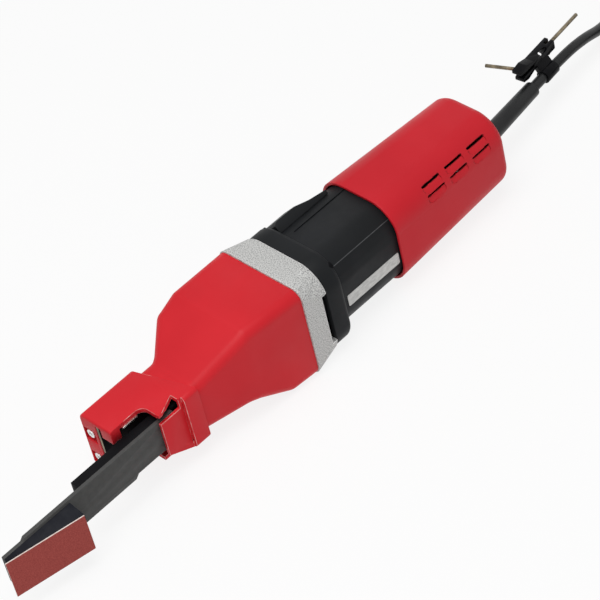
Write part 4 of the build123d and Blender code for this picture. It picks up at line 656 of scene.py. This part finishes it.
# The crease bevel takes the painted highlight.
pick_edges(housing, lambda p, q: on_crease(p) and on_crease(q))
bpy.ops.mesh.bevel(offset=CREASE_BEVEL * MM, segments=1, affect="EDGES", material=ACCENT)
bpy.ops.object.mode_set(mode="OBJECT")
creased = sum(face.material_index for face in housing.data.polygons)
print("barrel faces:", len(housing.data.polygons), "on the crease:", creased)

# %% [markdown]
# ### Nose
# The nose is a small casting with a machined pocket. Its near wall rises
# towards the front. A bevel there would run into the collar behind it, so the
# wall is cut by a wedge with a Boolean modifier. The mesh is made triangles
# before that, because a cut through large many-sided faces can leave a bad one.

# %% Nose wall
WALL_FRONT = -135.0
WALL_REAR = -114.6
WALL_BOTTOM = 14.0
WALL_RISE = 10.0
WEDGE_AHEAD = 1.0
WEDGE_Y = (-30.0, -17.0)
WEDGE_BOTTOM = 10.0
WEDGE_TAIL = 13.9

nose = welded_copy("nose_cover", red, red_painted_highlight)
bpy.ops.object.mode_set(mode="EDIT")
bpy.ops.mesh.select_all(action="SELECT")
bpy.ops.mesh.quads_convert_to_tris(quad_method="BEAUTY", ngon_method="BEAUTY")
bpy.ops.object.mode_set(mode="OBJECT")
wedge = block(
    "wedge",
    (WALL_FRONT - WEDGE_AHEAD, WEDGE_Y[0], WEDGE_BOTTOM),
    (WALL_REAR, WEDGE_Y[1], WALL_BOTTOM + WALL_RISE),
)
for corner in wedge.data.vertices:
    if corner.co.x > WALL_FRONT * MM and corner.co.z > WALL_BOTTOM * MM:
        corner.co.z = WEDGE_TAIL * MM
only(nose)
cut = nose.modifiers.new("wall_cut", "BOOLEAN")
cut.operation = "DIFFERENCE"
cut.solver = "EXACT"
cut.object = wedge
bpy.ops.object.modifier_apply(modifier="wall_cut")
bpy.data.objects.remove(wedge)
dissolve_flats(nose)
print("nose faces after the cut:", len(nose.data.polygons))

# %% [markdown]
# The nose's front edge is well rounded on top, and less on the far side,
# where the wall round the screw recess is thin. The weights carry that change:
# full on top, and falling through the corner. The sharp edges of the
# pocket take a pale painted highlight.

# %% Nose edges
NOSE_FRONT = -164.0
NOSE_TOP = 61.5
NOSE_FAR = 23.0
NOSE_CORNER = 3.6
FRONT_ROUND = 2.0
FRONT_SEGMENTS = 4
FAR_SHARE = 0.2
PLANE_SLACK = 0.1
FRONT_SLACK = 0.01
PAINTED_HIGHLIGHT_X = (-152.0, -112.0)


def on_front_outline(p):
    at_corner = p.y > NOSE_FAR - NOSE_CORNER and p.z > NOSE_TOP - NOSE_CORNER
    at_side = p.z > NOSE_TOP - PLANE_SLACK or p.y > NOSE_FAR - PLANE_SLACK
    return p.x < NOSE_FRONT + FRONT_SLACK and (at_corner or at_side)


only(nose)
weights = edge_weights(nose)
for edge in nose.data.edges:
    p, q = (nose.data.vertices[i].co / MM for i in edge.vertices)
    if on_front_outline(p) and on_front_outline(q):
        rise = ((p.z + q.z) / 2 - NOSE_TOP + NOSE_CORNER) / NOSE_CORNER
        share = min(1.0, max(0.0, rise))
        weights[edge.index].value = FAR_SHARE + (1.0 - FAR_SHARE) * share
weighted_bevel(nose, FRONT_ROUND, FRONT_SEGMENTS)
bpy.ops.object.modifier_apply(modifier="edge")
# The sharp edges take the pale painted highlight, and only those along the pocket keep it.
soften(nose, round_mm=0.3, edge_slot=ACCENT)
for face in nose.data.polygons:
    if not PAINTED_HIGHLIGHT_X[0] < face.center.x / MM < PAINTED_HIGHLIGHT_X[1]:
        face.material_index = SKIN
print("nose faces:", len(nose.data.polygons))

# %% [markdown]
# ### Rear cap
# The rear cap's air slots are moulded through the wall. Rims and walls of the
# slots take a darker painted shade that stands for the shadow in the slots. A wall of a
# slot is told from the skin by its normal, which lies across the spoke from
# the motor's axis.

# %% Rear cap
SLOTS_X = (118.0, 196.0)
AXIS_Z = 40.0
WALL_LEAN = 0.6

# The second finish is the painted shade of the slots' rims and walls.
cap = welded_copy("rear_cap", red_cap, red_painted_shade)
soften(cap, round_mm=0.4, edge_slot=ACCENT)
for face in cap.data.polygons:
    centre = face.center / MM
    spoke = (centre - Vector((face.center.x / MM, 0.0, AXIS_Z))).normalized()
    is_rim = face.material_index == ACCENT
    is_wall = abs(face.normal.dot(spoke)) < WALL_LEAN
    by_slots = SLOTS_X[0] < face.center.x / MM < SLOTS_X[1]
    face.material_index = ACCENT if by_slots and (is_rim or is_wall) else SKIN
shaded = sum(face.material_index for face in cap.data.polygons)
print("cap faces:", len(cap.data.polygons), "in the slots' shade:", shaded)

# %% [markdown]
# ### Finger
# The finger is a blackened arm, a long flat blade, and a wedge-shaped shoe
# that carries the abrasive strip. The strip is cut from cloth, so its edges
# stay square. Only its working face is grit. The cut edges show the backing.

# %% Finger
WORK_TILT = radians(12.0)
FACING = 0.9

dress("finger_arm", arm_black, round_mm=0.3)
dress("finger_blade", blade_grey, round_mm=0.25)
dress("sanding_shoe", shoe_black, round_mm=0.3)
strip = welded_copy("abrasive_strip", backing, grit)
soften(strip, round_mm=0.0)
work_normal = Vector((-sin(WORK_TILT), -cos(WORK_TILT), 0.0))
for face in strip.data.polygons:
    if face.normal.dot(work_normal) > FACING:
        face.material_index = ACCENT
print("grit faces:", sum(face.material_index for face in strip.data.polygons))

# %% [markdown]
# ### Fasteners and guide plate
# The socket screws are plated, and those in the flange blackened. The guide
# plate in the nose is dark on its flat sides and bare steel on its cut edges,
# and it is mostly the edges that show.

# %% Fasteners and guide plate
dress("nose_screws", screw_steel, round_mm=0.2)
dress("cap_screws", screw_steel, round_mm=0.2)
dress("flange_screws", arm_black, round_mm=0.2)
guide = welded_copy("guide_plate", arm_black, key_steel)
soften(guide, round_mm=0.15)
for face in guide.data.polygons:
    if abs(face.normal.y) < FACING:
        face.material_index = ACCENT
print("guide faces:", len(guide.data.polygons))

# %% [markdown]
# ## Steel lip
# A strip of bright steel lines the pocket's mouth, under the top wall, and
# shows as a bright line along the cut. It is a thin box with its long lower
# edge bevelled, as a sheared strip has.

# %% Steel lip
LIP_LOW = (-154.0, -9.0, 56.2)
LIP_HIGH = (-140.5, -6.6, 57.95)
LIP_BEVEL = 0.5
LIP_SEGMENTS = 2

lip = block("pocket_lip", LIP_LOW, LIP_HIGH)
pick_edges(lip, lambda p, q: max(p.z, q.z) < LIP_LOW[2] + PLANE_SLACK)
bpy.ops.mesh.bevel(offset=LIP_BEVEL * MM, segments=LIP_SEGMENTS, affect="EDGES")
bpy.ops.object.mode_set(mode="OBJECT")
soften(lip, round_mm=0.1)
lip.data.materials.append(bright)
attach(lip, "housing")
print("lip faces:", len(lip.data.polygons))

# %% [markdown]
# ## Label plate
# A bare silvered plate is stuck low on the barrel's near side. A plain box
# would read as a block, so its corners are rounded, and an inset face pushed
# a little inwards leaves a rim round the field.

# %% Label plate
LABEL_LOW = (31.6, -33.8, 28.7)
LABEL_HIGH = (83.0, -33.48, 38.4)
LABEL_CORNER = 1.2
LABEL_CORNER_SEGMENTS = 5
LABEL_RIM = 0.45
LABEL_SINK = 0.1

label = block("label_plate", LABEL_LOW, LABEL_HIGH)
pick_edges(label, lambda p, q: abs(p.y - q.y) > PLANE_SLACK)
bpy.ops.mesh.bevel(offset=LABEL_CORNER * MM, segments=LABEL_CORNER_SEGMENTS, affect="EDGES")
pick_faces(label, lambda centre, normal: normal.y < -FACING)
bpy.ops.mesh.inset(thickness=LABEL_RIM * MM)
bpy.ops.transform.translate(value=(0.0, LABEL_SINK * MM, 0.0))
bpy.ops.object.mode_set(mode="OBJECT")
soften(label, round_mm=0.05)
label.data.materials.append(label_foil)
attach(label, "housing")
print("label faces:", len(label.data.polygons))

# %% [markdown]
# ## Lead
# The lead leaves the relief, passes the key clip, sinks to the bench and is
# wound out of sight into a flat coil of two layers. A tube swept along
# straight runs would look like bent wire, so it is one smooth curve: the
# points of the route first, then the turns of the coil from a formula.

# %% Lead's route and coil
LEAD_DIAMETER = 8.0
FLOOR_HEIGHT = 4.2
EXIT = Vector((273.353, 8.945, 27.4))
ROUTE = [
    EXIT,
    Vector((310.077, 13.454, 27.4)),
    Vector((339.0, 17.6, 22.5)),
    Vector((364.0, 23.0, 11.5)),
    Vector((389.0, 32.0, FLOOR_HEIGHT)),
    Vector((413.5, 43.5, FLOOR_HEIGHT)),
]
COIL_MEAN_RADIUS = 48.2
COIL_PITCH = 8.7
COIL_WHOLE_TURNS = 7
COIL_EXIT_ANGLE = 1.5 * pi
POINTS_PER_TURN = 24

last_run = (ROUTE[-1] - ROUTE[-2]).normalized()
entry_angle = last_run.to_2d().angle_signed(Vector((1.0, 0.0))) + pi / 2
part_turn = ((entry_angle - COIL_EXIT_ANGLE) / (2 * pi)) % 1
turns = COIL_WHOLE_TURNS + part_turn
outer_radius = COIL_MEAN_RADIUS + turns / 4 * COIL_PITCH
coil_start = ROUTE[-1] + last_run * LEAD_DIAMETER
coil_centre = coil_start - Vector((cos(entry_angle), sin(entry_angle), 0.0)) * outer_radius
print("coil of", round(turns, 3), "turns, outer radius", round(outer_radius, 1), "mm")


# %% Lead's points
COIL_TAIL = 28.0
CLIMB_TURNS = 0.5


def coil_point(turn):
    """Inwards on the floor for half the turns, then up, and outwards on top."""
    angle = entry_angle - 2 * pi * turn
    radius = outer_radius - COIL_PITCH * (turns / 2 - abs(turn - turns / 2))
    climb = min(1.0, max(0.0, (turn - turns / 2) / CLIMB_TURNS + 0.5))
    height = COIL_PITCH * (1 - cos(pi * climb)) / 2
    widen = 1 / cos(pi / POINTS_PER_TURN)
    x, y = radius * widen * cos(angle), radius * widen * sin(angle)
    return coil_centre + Vector((x, y, height))


steps = round(turns * POINTS_PER_TURN)
points = ROUTE + [coil_point(turns * i / steps) for i in range(steps + 1)]
points.append(points[-1] + Vector((-COIL_TAIL, 0.0, 0.0)))
print("points of the lead:", len(points))

# %% Lead
ROUND_STEPS = 6

lead_curve = bpy.data.curves.new("lead", "CURVE")
lead_curve.dimensions = "3D"
spline = lead_curve.splines.new("NURBS")
spline.points.add(len(points) - 1)
for control, point in zip(spline.points, points):
    control.co = (*(point * MM), 1.0)
spline.order_u = 3
spline.use_endpoint_u = True
lead_curve.bevel_depth = LEAD_DIAMETER / 2 * MM
lead_curve.bevel_resolution = ROUND_STEPS
lead_curve.use_fill_caps = True
lead = bpy.data.objects.new("lead", lead_curve)
bpy.context.scene.collection.objects.link(lead)
lead.data.materials.append(rubber)
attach(lead, "housing")
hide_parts("cord", "cord_coil")
print("lead:", round(spline.calc_length(), 3), "m in", round(turns, 3), "turns")

# %% [markdown]
# A glossy clip holds two hex keys on the lead, and a moulded plug with two
# pins ends it.

holder = dress("key_holder", gloss_black, round_mm=0.25)
fork_key = dress("fork_key", key_steel, round_mm=0.1)
rear_key = dress("rear_key", key_steel, round_mm=0.1)
plug = dress("plug", rubber, round_mm=0.5)
plug_pins = dress("plug_pins", pin_metal, round_mm=0.1)

# %% [markdown]
# ## Inner pieces
# Inside are the motor, the gear pair, the eccentric that swings the finger,
# and the switch. They could be dressed as the outer pieces are, but nothing
# outside shows them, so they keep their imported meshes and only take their
# finishes.

# %% Inner pieces
INNER = {
    bright: [
        "pivot_pin",
        "eccentric_shaft",
        "eccentric_bearing",
        "drive_gear",
        "pinion",
        "armature_shaft",
        "shaft_bearing_outer_rings",
        "shaft_bearing_inner_rings",
        "front_bearing_outer_ring",
        "front_bearing_inner_ring",
        "rear_bearing_outer_ring",
        "rear_bearing_inner_ring",
    ],
    screw_steel: ["finger_screws", "plate_screws", "clamp_screws", "brush_springs"],
    cast: ["bearing_plate"],
    black: ["switch_rod", "switch_module", "chassis", "brush_carrier", "cord_clamp"],
    rubber: ["cord_inner"],
    bronze: ["pivot_bush", "brush_holders"],
    laminations: ["stator_core", "armature_core"],
    copper: ["field_coils", "armature_windings", "commutator"],
    fan_grey: ["fan"],
    carbon: ["carbon_brushes"],
    film: ["suppression_capacitor"],
}
for finish, names in INNER.items():
    for name in names:
        mesh = frame["nodes"][name].data
        mesh.materials.clear()
        mesh.materials.append(finish)
print("inner pieces finished:", sum(len(names) for names in INNER.values()))

# %% [markdown]
# ## White surroundings
# The picture's ground is white, but a floor and a sky that bright would flood
# the tool with light. Light Path tells what kind of ray asks: the camera, a
# reflection or a look through glass gets white, and the rays that light the
# tool get a plain level.

# %% Helper for white surroundings
WHITE = (1.0, 1.0, 1.0, 1.0)


def larger(tree, first, second):
    """The larger of two outputs."""
    most = tree.nodes.new("ShaderNodeMath")
    most.operation = "MAXIMUM"
    tree.links.new(first, most.inputs[0])
    tree.links.new(second, most.inputs[1])
    return most.outputs["Value"]


def when_seen(tree, unseen, seen):
    """One value where the surroundings are looked at, another for their light."""
    path = tree.nodes.new("ShaderNodeLightPath")
    direct = larger(tree, path.outputs["Is Camera Ray"], path.outputs["Is Glossy Ray"])
    either = larger(tree, direct, path.outputs["Is Transmission Ray"])
    spread = tree.nodes.new("ShaderNodeMapRange")
    spread.inputs["To Min"].default_value = unseen
    spread.inputs["To Max"].default_value = seen
    tree.links.new(either, spread.inputs["Value"])
    return spread.outputs["Result"]


# %% [markdown]
# ## Floor
# The tool lies on a plain pale floor. Where it is seen, most of it is a white
# glow, and the rest is the lit surface, which keeps the tool's soft shadow.

# %% Floor
FLOOR_SIZE = 8.0
FLOOR_GLOW = 0.85

bpy.ops.object.select_all(action="DESELECT")
bpy.ops.mesh.primitive_plane_add(size=FLOOR_SIZE)
floor = bpy.context.object
floor.name = "floor"
pale = new_finish("pale_floor", (0.95, 0.95, 0.95), 0.9, mirror=0.0)
tree = pale.node_tree
glow = tree.nodes.new("ShaderNodeEmission")
glow.inputs["Color"].default_value = WHITE
blend = tree.nodes.new("ShaderNodeMixShader")
tree.links.new(when_seen(tree, 0.0, FLOOR_GLOW), blend.inputs["Fac"])
tree.links.new(tree.nodes["Principled BSDF"].outputs["BSDF"], blend.inputs[1])
tree.links.new(glow.outputs["Emission"], blend.inputs[2])
tree.links.new(blend.outputs["Shader"], tree.nodes["Material Output"].inputs["Surface"])
floor.data.materials.append(pale)
print("floor size:", [round(v, 2) for v in floor.dimensions])

# %% [markdown]
# ## Light
# A broad soft light stands above the tool, a weaker fill on the camera's
# side, and an even sky does the rest. Small lamps would draw hard shadows,
# which the photograph does not have.

# %% Light
SKY_LIGHT = 0.28
SKY_SEEN = 1.0
LAMP_DISTANCE = 2.2

world = bpy.data.worlds.new("studio_sky")
world.use_nodes = True
sky = world.node_tree.nodes["Background"]
sky.inputs["Color"].default_value = WHITE
sky_strength = when_seen(world.node_tree, SKY_LIGHT, SKY_SEEN)
world.node_tree.links.new(sky_strength, sky.inputs["Strength"])
bpy.context.scene.world = world


def softbox(name, direction, size, watts):
    """A square area lamp that faces the tool from a direction."""
    place = LOOK_POINT + Vector(direction).normalized() * LAMP_DISTANCE
    bpy.ops.object.light_add(type="AREA", location=place)
    lamp = bpy.context.object
    lamp.name = name
    lamp.data.size = size
    lamp.data.energy = watts
    lamp.rotation_euler = (LOOK_POINT - place).to_track_quat("-Z", "Y").to_euler()
    print(name, "stands at", [round(v, 2) for v in place])


softbox("key_softbox", direction=(-0.2, -0.12, 1.0), size=1.6, watts=35.0)
softbox("fill_softbox", direction=(-0.4, -1.0, 0.45), size=1.4, watts=1.0)
bpy.context.scene.view_settings.view_transform = "Standard"
